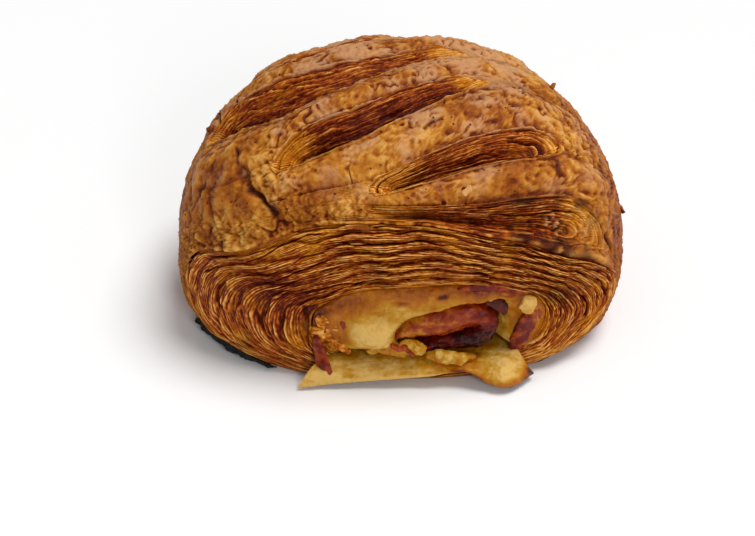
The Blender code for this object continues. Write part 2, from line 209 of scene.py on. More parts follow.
def each_way(noise, points, size, seed, *octaves):
    """Noise along each of the three axes, each from a seed of its own."""
    return np.stack([noise(points, size, seed + i, *octaves) for i in range(3)], -1)


def bell(value, middle, width):
    """1 at the middle, falling off smoothly over about width to each side."""
    return np.exp(-(((value - middle) / width) ** 2))


# The roll's outer form

def dome(points):
    """1 on the roll's smooth outline, less inside it and more outside."""
    x, y, z = points[..., 0], points[..., 1], points[..., 2] - WIDEST_LEVEL
    tall = np.where(z > 0, HEIGHT - WIDEST_LEVEL, UNDERCUT)
    depth = np.where(
        y < 0,
        np.abs(y / FRONT_DEPTH) ** FRONT_ROUNDNESS,
        np.abs(y / BACK_DEPTH) ** ROUNDNESS,
    )
    return np.abs(2 * x / WIDTH) ** ROUNDNESS + depth + np.abs(z / tall) ** ROUNDNESS


def dome_normals(points):
    """The way out of the smooth outline at each point."""
    step = 0.05
    slopes = [dome(points + step * axis) - dome(points - step * axis) for axis in np.eye(3)]
    normals = np.stack(slopes, -1)
    return normals / np.linalg.norm(normals, axis=-1, keepdims=True)


def bisect(outside, shape, far, steps=26):
    """The greatest distance, up to far, that isn't outside."""
    low, high = np.zeros(shape), np.full(shape, far)
    for _ in range(steps):
        middle = (low + high) / 2
        out = outside(middle)
        high = np.where(out, middle, high)
        low = np.where(out, low, middle)
    return low


def dome_depth(x, z, side):
    """y of the outline's front (side -1) or back (side 1) at (x, z)."""
    return side * bisect(lambda t: dome(np.stack([x, side * t, z], -1)) > 1.0, np.shape(x), 80.0)


def soft_least(a, b, radius):
    """The lesser of two values, rounded where they are alike."""
    blend = np.clip(0.5 + 0.5 * (b - a) / radius, 0.0, 1.0)
    return b + (a - b) * blend - radius * blend * (1.0 - blend)


def reach(place, drop, level):
    """How far each ray goes before it meets the outline or the flat base."""
    far = bisect(lambda t: dome(place(t)) > 1.0, drop.shape, 150.0)
    to_base = np.where(drop > 1e-6, level / np.maximum(drop, 1e-6), 1e6)
    return soft_least(far, np.minimum(to_base, 400.0), BASE_EDGE_RADIUS)


def smooth_through(places, values, x):
    """A smooth curve through the values, read at x."""
    places, values = np.asarray(places), np.asarray(values)
    slopes = np.gradient(values, places)
    x = np.clip(x, places[0], places[-1])
    i = np.clip(np.searchsorted(places, x) - 1, 0, len(places) - 2)
    gap = places[i + 1] - places[i]
    t = (x - places[i]) / gap
    return (
        (2 * t**3 - 3 * t**2 + 1) * values[i]
        + (t**3 - 2 * t**2 + t) * gap * slopes[i]
        + (3 * t**2 - 2 * t**3) * values[i + 1]
        + (t**3 - t**2) * gap * slopes[i + 1]
    )


LINE_COUNT = round(2 * LINE_REACH * LINES_PER_MM)
LINE_X = np.linspace(-LINE_REACH, LINE_REACH, LINE_COUNT + 1)


def row_lines():
    """How far back each crust line lies at LINE_X: front edge, both lips of each score, back edge."""
    lines = [smooth_through(*np.array(FRONT_EDGE).T, LINE_X)]
    for places, *_ in SCORES:
        across, back, half = np.array(places).T
        middle = smooth_through(across, back, LINE_X)
        wide = np.maximum(np.interp(LINE_X, across, half), LEAST_HALF_WIDTH)
        lines += [middle - wide, middle + wide]
    lines.append(smooth_through(*np.array(BACK_EDGE).T, LINE_X))
    return np.array(lines)


LINES = row_lines()


def columns():
    """The angles of the columns round the roll, over the arch and then along its base."""
    arch = np.linspace(-ARCH_SPAN, ARCH_SPAN, ARCH_COLUMNS, endpoint=False)
    under = np.linspace(ARCH_SPAN, 2 * math.pi - ARCH_SPAN, BASE_COLUMNS, endpoint=False)
    return np.concatenate([arch, under])


def top_points(band, share, angles):
    """The dome at each row (band, share across it) and angle."""
    sides, ups = np.sin(angles)[None, :], np.cos(angles)[None, :]
    band, share = band[:, None], share[:, None]

    def place(t):
        x = t * sides
        spot = np.clip((x + LINE_REACH) * LINES_PER_MM, 0.0, LINE_COUNT - 0.01)
        left = spot.astype(int)
        part = spot - left
        near = LINES[band, left] * (1 - part) + LINES[band, left + 1] * part
        far = LINES[band + 1, left] * (1 - part) + LINES[band + 1, left + 1] * part
        return np.stack([x, near + (far - near) * share, AXIS_LEVEL + t * ups], -1)

    drop = np.broadcast_to(-ups, (len(band), len(angles)))
    points = place(reach(place, drop, AXIS_LEVEL))
    points[..., 2] = np.maximum(points[..., 2], 0.0)
    return points


def mouth_outline(mouth, angles, inset=0.0):
    """(x, z) round a mouth, drawn in by inset."""
    middle_x, middle_z, half_width, half_height = mouth
    half_width, half_height = half_width - inset, half_height - inset
    sides, ups = np.sin(angles), np.cos(angles)
    far = (
        np.abs(sides / half_width) ** MOUTH_POWER + np.abs(ups / half_height) ** MOUTH_POWER
    ) ** (-1 / MOUTH_POWER)
    return middle_x + far * sides, middle_z + far * ups


def end_points(mouth, edge, centre, angles, side, share):
    """The dome at each share of the way from a mouth's rim to the crust edge."""
    x, z = mouth_outline(mouth, angles)
    rim = np.stack([x, dome_depth(x, z, side), z], -1)
    aims = rim + (edge - rim) * share[..., None] - centre
    aims /= np.linalg.norm(aims, axis=-1, keepdims=True)
    far = reach(lambda t: centre + aims * t[..., None], -aims[..., 2], centre[2])
    points = centre + aims * far[..., None]
    points[..., 2] = np.maximum(points[..., 2], 0.0)
    return points


def clear_of_base(points):
    """0 close to the flat base, where nothing is displaced, to 1 above it."""
    return np.clip((points[..., 2] - 1.0) / 6.0, 0.0, 1.0)


# Relief of the cut layers and of the crust

def lane_noise(points, turn, size, rate, seed):
    """Noise along the sheets, with features of size mm and a new value every 1 / rate sheets."""
    along = points[..., 0] / size
    over = (points[..., 2] - points[..., 1]) / size
    return wander(np.stack([along, over, turn * rate], -1), 1.0, seed)


def sheet_stack(points, turn, seed):
    """Height in mm and edge mask of one stack of torn sheets of dough. The mask is painted light on the sheets'
    edges and painted shade in the gaps between them.
    """
    turn = turn + 0.8 * wander(points, 13.0, seed) + 0.38 * wander(points, 5.0, seed + 1)
    turn = turn + 0.20 * wander(points, 2.2, seed + 2) + 0.5 * lane_noise(points, turn, 30.0, 0.45, seed + 3)
    number, phase = np.floor(turn), turn % 1.0
    ridge = 1 - np.abs(2 * phase - 1) ** 2.6
    stand_out = lane_noise(points, number, 9.0, 0.77, seed + 4)
    ragged = lane_noise(points, number, 1.6, 0.77, seed + 5)
    height = 0.70 * ridge + 0.80 * stand_out + 0.28 * ragged
    mask = ridge * (0.66 + 0.50 * stand_out + 0.30 * ragged)
    return height, mask


def layer_relief(points, turn, seed=40, finer=0.0):
    """Height in mm and edge mask, 0 in a gap to 1 on an edge, of the sheets of dough that turn counts. The mask is
    partly the sheets' own golden tone and partly painted shade in the gaps, darkest in the deep gaps, and painted
    light on the edges.
    """
    broad, broad_mask = sheet_stack(points, turn, seed)
    fine, fine_mask = sheet_stack(points, turn * 1.75 + 3.0, seed + 10)
    patch = ramp(wander(points, 8.0, seed + 20) + finer, -0.2, 0.3)
    height = broad + (0.55 * fine - broad) * patch
    mask = broad_mask + (fine_mask - broad_mask) * patch
    turn_gap = turn / 4.3 + 0.7 * wander(points, 17.0, seed + 21) + 0.25 * wander(points, 5.0, seed + 22)
    present = ramp(lane_noise(points, turn, 13.0, 0.3, seed + 23), -0.15, 0.2)
    gap = bell(turn_gap % 1.0, 0.5, 0.075) * present
    return height - 1.3 * gap, np.clip(mask, 0.0, 1.0) * (1 - gap)


def cell_noise(points, size, seed):
    """Distance from the nearest of many scattered spots, in cells of this size, and its random number."""
    draw = np.random.RandomState(seed)
    table, order = draw.rand(256, 4), draw.permutation(256)
    place = points / size + 100.0
    cell = np.floor(place).astype(np.int64)
    nearest, luck = np.full(points.shape[:-1], 9.0), np.zeros(points.shape[:-1])
    for step in np.ndindex(3, 3, 3):
        near = cell + np.array(step) - 1
        spot = order[near[..., 0] & 255]
        spot = order[(spot + near[..., 1]) & 255]
        spot = order[(spot + near[..., 2]) & 255]
        away = np.linalg.norm(place - near - table[spot, :3], axis=-1)
        closer = away < nearest
        nearest, luck = np.where(closer, away, nearest), np.where(closer, table[spot, 3], luck)
    return nearest, luck


def spots(points, places):
    """How much of the named round patches (across, back, up, radius, strength) covers each point."""
    total = np.zeros(points.shape[:-1])
    bent = points + 3.0 * each_way(wander, points, 7.0, 31)
    for x, y, z, radius, strength in places:
        away = np.linalg.norm(bent - np.array([x, y, z]), axis=-1)
        total = np.maximum(total, strength * bell(away, 0.0, radius))
    return total


def line_distance(points, line):
    """Distance in mm from a bent line."""
    nearest = np.full(points.shape[:-1], 1e3)
    for start, end in zip(line, line[1:]):
        start, way = np.array(start), np.array(end) - np.array(start)
        share = np.clip(((points - start) @ way) / (way @ way), 0.0, 1.0)
        nearest = np.minimum(nearest, np.linalg.norm(points - start - share[..., None] * way, axis=-1))
    return nearest


# Places on the crust: across, back, up, radius, strength
BLISTERED = (
    (-46.0, -37.0, 39.0, 9.0, 0.85), (-33.0, -35.0, 54.0, 8.0, 0.7), (-55.0, -28.0, 32.0, 9.0, 0.75),
    (-20.0, -42.0, 52.0, 9.0, 0.55), (54.0, -8.0, 48.0, 12.0, 0.35), (-30.0, -22.0, 64.0, 5.0, 0.5),
)
SMOOTH = (
    (-53.0, -25.0, 44.5, 5.5, 1.0), (-47.0, -29.0, 49.5, 6.5, 1.0), (-41.5, -33.5, 50.0, 5.0, 0.9),
    (-49.0, -22.0, 53.0, 5.5, 0.8), (-56.0, -17.5, 45.5, 6.0, 1.0), (-60.5, -16.0, 37.0, 5.0, 0.8),
    (-18.5, -38.0, 58.5, 7.0, 0.9),
    (-8.0, -37.0, 61.5, 6.0, 0.8), (25.0, -36.0, 57.0, 9.0, 0.6), (12.0, -22.0, 69.5, 8.0, 0.5),
)
SWOLLEN = (
    (-53.0, -25.0, 44.5, 4.4, 1.1), (-47.5, -28.5, 49.0, 5.2, 1.5), (-42.0, -33.0, 50.0, 3.8, 1.1),
    (-56.0, -17.0, 46.0, 4.6, 1.2), (-60.5, -16.0, 38.0, 4.5, 0.8), (-44.0, -35.5, 45.2, 2.2, 0.9),
    (-20.0, -38.0, 58.0, 6.0, 0.7),
    (-9.5, -39.0, 59.5, 5.0, 0.6), (-40.0, -37.0, 47.0, 3.0, 0.6), (-46.0, -34.0, 44.0, 2.6, 0.6),
)
GOLDEN = (
    (-35.0, -29.5, 59.0, 8.0, 0.9), (-13.0, -43.0, 53.0, 8.0, 0.8), (-5.0, -38.0, 60.0, 7.0, 0.9),
    (4.0, -28.5, 68.0, 6.0, 0.8), (25.0, 7.0, 70.0, 8.0, 1.3), (35.0, 14.0, 65.0, 9.0, 1.1),
    (-42.0, -38.0, 42.0, 8.0, 0.7), (46.0, -12.0, 58.0, 8.0, 0.5), (57.0, -22.0, 40.0, 7.0, 0.6),
)
# Dents: their line, radius and depth
DENTS = (
    (((-44.0, -20.0, 58.3), (-42.8, -27.0, 55.2), (-39.8, -32.5, 53.1)), 1.2, 0.5),
    (((-39.8, -32.5, 53.1), (-36.9, -35.6, 52.2), (-33.3, -38.8, 50.4)), 1.2, 1.5),
    (((-50.5, -18.0, 52.5), (-53.0, -21.5, 48.0), (-57.0, -22.5, 40.5)), 0.8, 0.4),
    (((57.6, -26.3, 34.8), (58.6, -26.0, 30.0)), 1.3, 2.2),
    (((60.4, -21.0, 36.0), (60.9, -21.5, 31.5)), 0.7, 1.0),
    (((6.7, -27.5, 68.4), (8.4, -26.6, 69.0), (10.7, -24.8, 69.4)), 0.5, 0.6),
    (((31.0, 1.5, 68.6), (34.5, 0.2, 67.5)), 0.8, 1.0),
    (((52.5, -2.0, 54.0), (55.5, -6.0, 50.0), (57.5, -9.0, 46.0)), 0.7, 0.8),
    (((-57.0, -6.0, 49.5), (-54.5, -11.0, 50.5), (-51.5, -14.5, 52.5)), 1.0, 0.5),
)
CRUMBED = ((43.2, -37.0, 44.3, 4.0, 1.0), (50.7, -33.0, 38.7, 4.0, 1.0), (57.0, -27.8, 33.0, 3.0, 0.9))


def soften(grid, reach):
    """Each value's mean over its neighbours in the grid. The columns close round."""
    rows = np.arange(len(grid))
    steps = range(-reach, reach + 1)
    grid = sum(grid[np.clip(rows + step, 0, len(grid) - 1)] for step in steps) / len(steps)
    return sum(np.roll(grid, step, 1) for step in steps) / len(steps)


def dents(points):
    """Depth in mm of the named dents, and their painted shade from 0 to 1."""
    depth, shade = np.zeros(points.shape[:-1]), np.zeros(points.shape[:-1])
    bent = points + 0.9 * each_way(wander, points, 4.0, 34)
    for line, radius, deep in DENTS:
        thin = radius * (0.85 + 0.6 * wander(points, 5.0, 33))
        inside = bell(line_distance(bent, line), 0.0, thin)
        depth, shade = np.maximum(depth, deep * inside), np.maximum(shade, min(deep, 1.0) * inside)
    return depth, shade


def crust_relief(points):
    """Height in mm, how blistered and how dented, where the crust is whole; the dents mask, from cracks and pits,
    is later used for painted shade in them.
    """
    calm = 1 - spots(points, SMOOTH)
    zone = (0.16 + spots(points, BLISTERED)) * calm
    away, luck = cell_noise(points, 6.0, 55)
    large = np.clip(1 - (away / 0.8) ** 2, 0.0, 1.0) ** 0.7 * (0.35 + 0.65 * luck)
    away, luck = cell_noise(points, 2.7, 56)
    small = np.clip(1 - (away / 0.8) ** 2, 0.0, 1.0) ** 0.7 * ramp(luck, 0.2, 0.8)
    away, luck = cell_noise(points, 1.6, 58)
    tiny = np.clip(1 - (away / 0.75) ** 2, 0.0, 1.0) * ramp(luck, 0.4, 0.9)
    away, luck = cell_noise(points, 2.9, 59)
    pit = np.clip(1 - (away / 0.30) ** 2, 0.0, 1.0) * ramp(luck, 0.55, 0.95)
    bent = points + 2.2 * each_way(wander, points, 5.0, 66)
    wrinkle = 1.5 - 2.4 * np.abs(rough(bent, (5.0, 3.0, 3.0), 53, 3))
    crinkle = 1.0 - 2.4 * np.abs(rough(bent, (3.0, 1.7, 1.7), 54, 2))
    crack = bell(rough(bent, 12.0, 60, 3), 0.0, 0.03) * ramp(wander(points, 13.0, 69), 0.0, 0.4)
    blister = zone * (1.5 * large + 1.0 * small + 0.45 * tiny)
    skin = 0.55 * wrinkle + (0.22 + 0.24 * zone) * crinkle - 0.8 * pit - 0.7 * crack
    skin = (skin + 0.5 * rough(points, 3.2, 57, 3)) * (0.25 + 0.75 * calm)
    height = blister + skin + 1.7 * spots(points, SWOLLEN)
    return height, np.clip(blister, 0.0, 1.0), 0.8 * np.maximum(crack, pit) * calm


# Parts of the layered end darkened with painted shade: across, up, half width, half height, strength
FRONT_SHADED = ((-33.0, 26.0, 13.0, 9.0, 0.34), (-22.0, 20.0, 8.0, 12.0, 0.25), (48.0, 22.0, 8.0, 9.0, 0.15))


def ovals(x, z, places):
    """The largest of several soft oval patches (across, up, half width, half height, strength)."""
    total = np.zeros_like(x)
    for middle_x, middle_z, wide, high, strength in places:
        away = ((x - middle_x) / wide) ** 2 + ((z - middle_z) / high) ** 2
        total = np.maximum(total, strength * np.exp(-away))
    return total


def front_surface(angles):
    """The layered front end: points and masks, from its mouth to the crust edge."""
    edge = top_points(np.array([0]), np.array([0.0]), angles)[0]
    share = np.linspace(0.0, 1.0, FRONT_ROWS)[:, None] * np.ones((1, len(angles)))
    points = end_points(FRONT_MOUTH, edge, FRONT_CENTRE, angles, -1, share)
    turn = share * FRONT_SHEETS
    left = ramp(-points[..., 0], 8.0, 30.0)
    height, mask = layer_relief(points, turn, finer=0.12 + 0.3 * left)
    ledge = sheet_profile(share * 7.0 + 0.9 * wander(points, 17.0, 12) + 0.3 * wander(points, 6.0, 15))
    ledge_strength = np.clip(0.6 + 0.9 * wander(points, 11.0, 13), 0.0, 1.3)
    inside = ramp(share, 0.0, 0.05)
    folds = 2.0 * (ledge - 0.45) * ledge_strength
    height = (1 - 0.3 * left) * (1.05 * height + folds) * inside + 0.7 * wander(points, 9.0, 14)
    recess = MOUTH_RECESS * (1.0 - share) ** 2
    shaded = ovals(points[..., 0], points[..., 2], FRONT_SHADED)
    raised = height - soften(height, 3)
    points = points + dome_normals(points) * (height * clear_of_base(points))[..., None]
    points[..., 1] += recess
    spilled = share + 0.14 * wander(points, 7.0, 16) + 0.05 * lane_noise(points, turn, 4.0, 0.6, 17)
    masks = {
        "layer": 1 - ramp(spilled, 0.955, 0.985) * (1 - ramp(points[..., 0], 0.0, 20.0)),
        # Edge mask: painted shade in the gaps between sheets and folds and in the shaded patches, painted light on
        # raised bits and fold edges
        "edge": np.clip(mask * (0.70 + 0.54 * ledge) + (0.35 + 0.2 * left) * raised - shaded, 0.0, 1.0),
        "turn": turn,
        "share": share,
        "shaded": shaded,
    }
    return points, masks


def back_surface(angles):
    """The plainer layered back end, from the crust edge to its mouth."""
    edge = top_points(np.array([len(LINES) - 2]), np.array([1.0]), angles)[0]
    share = np.linspace(1.0, 0.0, BACK_ROWS)[:, None] * np.ones((1, len(angles)))
    points = end_points(BACK_MOUTH, edge, BACK_CENTRE, angles, 1, share)
    ledge = sheet_profile(share * 3.0 + 0.4 * wander(points, 12.0, 15))
    turn = share * BACK_SHEETS
    fine, mask = layer_relief(points, turn)
    height = (1.4 * (ledge - 0.45) + fine * 1.1) * ramp(share, 0.0, 0.06)
    points = points + dome_normals(points) * (height * clear_of_base(points))[..., None]
    points[..., 1] -= MOUTH_RECESS * (1.0 - share) ** 2
    # Edge mask: painted shade in the gaps between sheets and folds, painted light on fold edges
    edge_mask = np.clip(mask * (0.75 + 0.35 * ledge), 0.0, 1.0)
    return points, {"layer": np.ones_like(share), "edge": edge_mask, "turn": turn, "share": share}


def sheet_profile(turn):
    """Across one thick fold of dough: 0 in the gap before it, rising to 1 at its edge, then falling off."""
    part = turn - np.floor(turn)
    return ramp(part, 0.0, 0.62) * (1 - ramp(part, 0.84, 1.0))


def score_levels(number, across, x):
    """The sheets' level in a score, 0 in its valley to 1 at its lips, and the same with both ends closed."""
    places, _, _, curled = SCORES[number]
    places = np.array(places)
    open_x = places[places[:, 2] > 0.0, 0]
    wall = np.where(across < VALLEY, (VALLEY - across) / (1 + VALLEY), (across - VALLEY) / (1 - VALLEY))
    left = np.clip(1 - (x - open_x[0] + 2.0) / 8.0, 0.0, 1.0)
    right = np.clip(1 - (open_x[-1] + 2.0 - x) / 12.0, 0.0, 1.0)
    curl = (wall**3 + (left * curled[0]) ** 3 + (right * curled[1]) ** 3) ** (1 / 3)
    closed = (wall**3 + left**3 + right**3) ** (1 / 3)
    return np.clip(curl, 0.0, 1.2), np.clip(closed, 0.0, 1.0)


def openness(number, x):
    """How open a score is at x, from 0 to 1."""
    across, _, half = np.array(SCORES[number][0]).T
    return np.clip(np.interp(x, across, half) / 2.5, 0.0, 1.0)


def strip_puff(band, x):
    """How much each strip of crust between two scores stands out: hardly where both are closed."""
    puff = np.zeros_like(x)
    for number in range(len(SCORES) + 1):
        rows = band == 2 * number
        sides = [openness(side, x[rows]) for side in (number - 1, number) if 0 <= side < len(SCORES)]
        puff[rows] = 0.12 + 0.88 * np.max(sides, axis=0)
    return puff


def top_surface(angles):
    """The scored crust: points and masks, from the front crust edge to the back one."""
    band = np.concatenate([np.full(count, i) for i, count in enumerate(BAND_ROWS)] + [[len(BAND_ROWS) - 1]])
    share = np.concatenate([np.arange(count) / count for count in BAND_ROWS] + [[1.0]])
    base = top_points(band, share, angles)
    above = np.clip(np.cos(angles) * 2.5, 0.0, 1.0)[None, :]
    puff_scale = (SIDE_PUFF + (1 - SIDE_PUFF) * above) * strip_puff(band, base[..., 0])
    strip = (band % 2 == 0)[:, None]
    share = share[:, None] * np.ones_like(base[..., 0])
    across = 2 * share - 1
    depth, turn, hollow = np.zeros_like(share), np.zeros_like(share), np.ones_like(share)
    groove, wide, shade = np.zeros_like(share), np.zeros_like(share), np.zeros_like(share)
    for number, (_, sunk, sheets, _) in enumerate(SCORES):
        rows = band == 2 * number + 1
        curl, level = score_levels(number, across[rows], base[rows][..., 0])
        hollow[rows] = level
        depth[rows] = sunk * (1 - level) ** 1.4 * above
        turn[rows] = curl * sheets
        # Painted shade, deepest in the score's valley
        shade[rows] = SCORE_SHADES[number] * (1 - level)
        wide[rows] = openness(number, base[rows][..., 0])
        groove[rows] = bell(level, 0.90, 0.045) * (across[rows] > 0) * wide[rows]
    torn = 0.03 * wander(base, 3.0, 62) + 0.03 * lane_noise(base, turn, 6.0, 0.5, 63)
    cut = ramp(1 - hollow + torn, 0.03, 0.09) * above
    open_front = base[..., 0] + 9.0 * lane_noise(base, 1.5 * turn + 2 * share, 5.0, 1.0, 65)
    in_front = (band == 0)[:, None] | ((band == 1)[:, None] & (across < VALLEY + 0.2))
    front_strip = ramp(open_front, -18.0, -2.0) * in_front
    cut = np.maximum(cut, front_strip * above)
    fine, mask = layer_relief(base, turn)
    crust, blister, pitted = crust_relief(base)
    dent, dent_shade = dents(base)
    crumbs = spots(base, CRUMBED) * ramp(wander(base, 1.5, 37), -0.05, 0.3) * above
    puff = np.where(strip, STRIP_PUFF * np.sin(math.pi * share) - STRIP_SINK, -STRIP_SINK * 0.4) * puff_scale
    height = puff + wander(base, 16.0, 5) + (crust - 0.75) * (1 - cut) + cut * fine * 1.05
    height = height - depth - dent + 0.6 * crumbs
    height = height - 0.8 * groove * above * ramp(lane_noise(base, turn, 9.0, 0.4, 64), -0.5, 0.1)
    lip = bell(hollow, 0.985, 0.03) * above * wide
    height = height + 0.4 * lip * (0.6 + 0.9 * wander(base, 4.0, 61))
    points = base + dome_normals(base) * (height * clear_of_base(base))[..., None]
    raised = height - soften(height, 3)
    # Painted shade, also a little over the layered front strip; less at the pale curled ends of the scores
    shade = np.maximum(shade, 0.1 * front_strip) - 0.30 * swirl_mask(base)
    masks = {
        "layer": cut * (1 - crumbs),
        "crumbs": crumbs,
        "dent": dent_shade,
        # Edge mask: painted shade in the gaps between sheets, in the groove under each back lip and down in the
        # scores, and painted light on raised bits
        "edge": np.clip(mask * (1 - 0.7 * groove) + 0.35 * raised - shade, 0.0, 1.0),
        "raised": np.clip(0.5 + 0.9 * raised, 0.0, 1.0),
        "turn": turn,
        "share": hollow,
        "blister": blister,
        # Cracks, pits and dents, used for painted shade in them
        "crease_shade": np.maximum(pitted, dent_shade),
        "swirl": swirl_mask(base) * cut,
    }
    return points, masks, band


def swirl_mask(points):
    """1 at the pale curled ends of the scores."""
    pale = np.zeros(points.shape[:-1])
    for x, y, size in CURLED_ENDS:
        away = np.hypot(points[..., 0] - x, (points[..., 1] - y) * 1.3)
        pale = np.maximum(pale, 1 - ramp(away, size * 0.3, size * 1.4))
    return pale


# Making pieces

def add_piece(name, points, faces, masks, material, slot, node):
    """A mesh piece in metres that stands for a node, with its masks as vertex attributes."""
    mesh = bpy.data.meshes.new(name)
    flat = np.ascontiguousarray(points.reshape(-1, 3) * MM, dtype=np.float32)
    faces = np.ascontiguousarray(faces, dtype=np.int32)
    mesh.vertices.add(len(flat))
    mesh.vertices.foreach_set("co", flat.ravel())
    mesh.loops.add(faces.size)
    mesh.loops.foreach_set("vertex_index", faces.ravel())
    mesh.polygons.add(len(faces))
    mesh.polygons.foreach_set("loop_start", np.arange(0, faces.size, 4, dtype=np.int32))
    mesh.polygons.foreach_set("loop_total", np.full(len(faces), 4, dtype=np.int32))
    mesh.update(calc_edges=True)
    mesh.validate()
    mesh.shade_smooth()
    for key, values in masks.items():
        layer = mesh.attributes.new(key, "FLOAT", "POINT")
        layer.data.foreach_set("value", np.ascontiguousarray(values, dtype=np.float32).ravel())
    mesh.materials.append(material)
    piece = bpy.data.objects.new(name, mesh)
    bpy.context.scene.collection.objects.link(piece)
    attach(piece, "root")
    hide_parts(node)
    return piece


def round_faces(rows, around, turned=False):
    """Quads of rows that close round."""
    i, j = np.meshgrid(np.arange(rows - 1), np.arange(around), indexing="ij")
    k = (j + 1) % around
    corners = [i * around + j, i * around + k, (i + 1) * around + k, (i + 1) * around + j]
    if turned:
        corners = corners[::-1]
    return np.stack(corners, -1).reshape(-1, 4)


def slab_faces(stations, places):
    """Quads of a closed slab between two grids of points of the same shape."""
    size = stations * places
    i, j = np.meshgrid(np.arange(stations - 1), np.arange(places - 1), indexing="ij")
    a, b, c, d = i * places + j, i * places + j + 1, (i + 1) * places + j + 1, (i + 1) * places + j
    low = np.stack([a, b, c, d], -1).reshape(-1, 4)
    high = np.stack([a, d, c, b], -1).reshape(-1, 4) + size
    i = np.arange(stations - 1)
    left = np.stack([i * places, (i + 1) * places, (i + 1) * places + size, i * places + size], -1)
    right = left[:, ::-1] + places - 1
    j = np.arange(places - 1)
    near = np.stack([j + 1, j, j + size, j + 1 + size], -1)
    far = near[:, ::-1] + (stations - 1) * places
    return np.concatenate([low, high, left, right, near, far])


def point_outward(faces, points):
    """The faces, turned over if the body they close is inside out."""
    flat = points.reshape(-1, 3)
    a, b, c, d = (flat[faces[:, i]] for i in range(4))
    volume = (np.cross(b, c) * a).sum() + (np.cross(c, d) * a).sum()
    return faces if volume > 0 else faces[:, ::-1]


def tunnel_place(x, z, along):
    """Carries (x, z), set out at the front mouth, to a share along the tapering tunnel."""
    back_x = BACK_MOUTH[0] + (x - FRONT_MOUTH[0]) * BACK_MOUTH[2] / FRONT_MOUTH[2]
    back_z = BACK_MOUTH[1] + (z - FRONT_MOUTH[1]) * BACK_MOUTH[3] / FRONT_MOUTH[3]
    front = np.stack([x, dome_depth(x, z, -1) + MOUTH_RECESS, z], -1)
    back = np.stack([back_x, dome_depth(back_x, back_z, 1) - MOUTH_RECESS, back_z], -1)
    return front + (back - front) * along


def stations(rounding):
    """Shares along the tunnel, close together near both ends, and how thick a slab is there."""
    near = 0.36 * np.linspace(0.0, 1.0, 24) ** 2.6
    along = np.concatenate([near, 1 - near[::-1]])
    depth = np.minimum(along, 1 - along) * TUNNEL_LENGTH
    inside = np.clip(depth / rounding, 0.0, 1.0)
    return along, np.sqrt(1 - (1 - inside) ** 2) * 0.92 + 0.08


def through_food(inner, outer, front_bulge, back_bulge, rounding, lumps, seed):
    """Both faces of a slab through the tunnel between two outlines, with rounded ends and lumps."""
    along, thickness = stations(rounding)
    middle = [(a + b) / 2 for a, b in zip(inner, outer)]
    grids = ([], [])
    for share, thin in zip(along, thickness):
        for grid, outline in zip(grids, (inner, outer)):
            x = middle[0] + (outline[0] - middle[0]) * thin
            z = middle[1] + (outline[1] - middle[1]) * thin
            points = tunnel_place(x, z, share)
            points[:, 1] += back_bulge * share - front_bulge * (1 - share)
            grid.append(points)
    points = np.array(grids)
    points = points + lumps * each_way(rough, points, 4.0, seed, 2)
    return points


def add_ribbon(name, path, widths, thickness, sink, lumps, masks, material, slot, node):
    """A soft strip lying on the front, along a path of (across, up) places, sink mm behind the dome."""
    path = np.array(path)
    steps = np.arange(len(path), dtype=float)
    count = 26 * (len(path) - 1)
    x, z = (dense(steps, path[:, i], count) for i in (0, 1))
    widths, sink = (
        np.interp(np.linspace(0, 1, count), np.linspace(0, 1, np.size(values)), np.atleast_1d(values))
        for values in (widths, sink)
    )
    run_x, run_z = np.gradient(x), np.gradient(z)
    length = np.hypot(run_x, run_z)
    ends = np.sqrt(np.clip(np.sin(math.pi * np.linspace(0.004, 0.996, count)) * 6.0, 0.0, 1.0))
    turns = np.linspace(0.0, 2 * math.pi, 28, endpoint=False)
    rings = []
    for turn in turns:
        aside = math.copysign(abs(math.cos(turn)) ** 0.8, math.cos(turn)) * widths / 2 * ends
        ring_x, ring_z = x - run_z / length * aside, z + run_x / length * aside
        out = math.copysign(abs(math.sin(turn)) ** 0.8, math.sin(turn)) * thickness / 2 * ends
        rings.append(np.stack([ring_x, dome_depth(ring_x, ring_z, -1) + sink - out, ring_z], -1))
    points = np.array(rings).transpose(1, 0, 2)
    points = points + lumps * each_way(rough, points, 2.6, len(name), 3)
    points[..., 2] = np.maximum(points[..., 2], 0.2)
    around = points.shape[1]
    caps = points[[0, -1]].mean(1, keepdims=True) * np.ones((1, around, 1))
    points = np.concatenate([caps[:1], points, caps[1:]])
    values = {key: value(points) for key, value in masks.items()}
    faces = point_outward(round_faces(len(points), around), points)
    return add_piece(name, points, faces, values, material, slot, node)


def add_slab(name, points, masks, material, slot, node):
    """A closed piece between two grids of points."""
    faces = point_outward(slab_faces(points.shape[1], points.shape[2]), points)
    return add_piece(name, points, faces, masks, material, slot, node)


def dense(places, values, count):
    """values drawn through places, sampled at count even steps."""
    return smooth_through(np.asarray(places), np.asarray(values), np.linspace(places[0], places[-1], count))


# Materials

def ramp_node(nodes, stops):
    """A ramp of colours, from stops of place and colour."""
    made = nodes.new("ShaderNodeValToRGB")
    elements = made.color_ramp.elements
    while len(elements) < len(stops):
        elements.new(0.5)
    for element, (place, colour) in zip(elements, stops):
        element.position = place
        element.color = (*colour, 1.0)
    return made


def new_material(name):
    """A material, its nodes and links, and its shader."""
    material = bpy.data.materials.new(name)
    material.use_nodes = True
    nodes, links = material.node_tree.nodes, material.node_tree.links
    return material, nodes, links, nodes["Principled BSDF"]


def attribute(nodes, name):
    """The mask of this name, as a socket."""
    made = nodes.new("ShaderNodeAttribute")
    made.attribute_type = "GEOMETRY"
    made.attribute_name = name
    return made.outputs["Fac"]


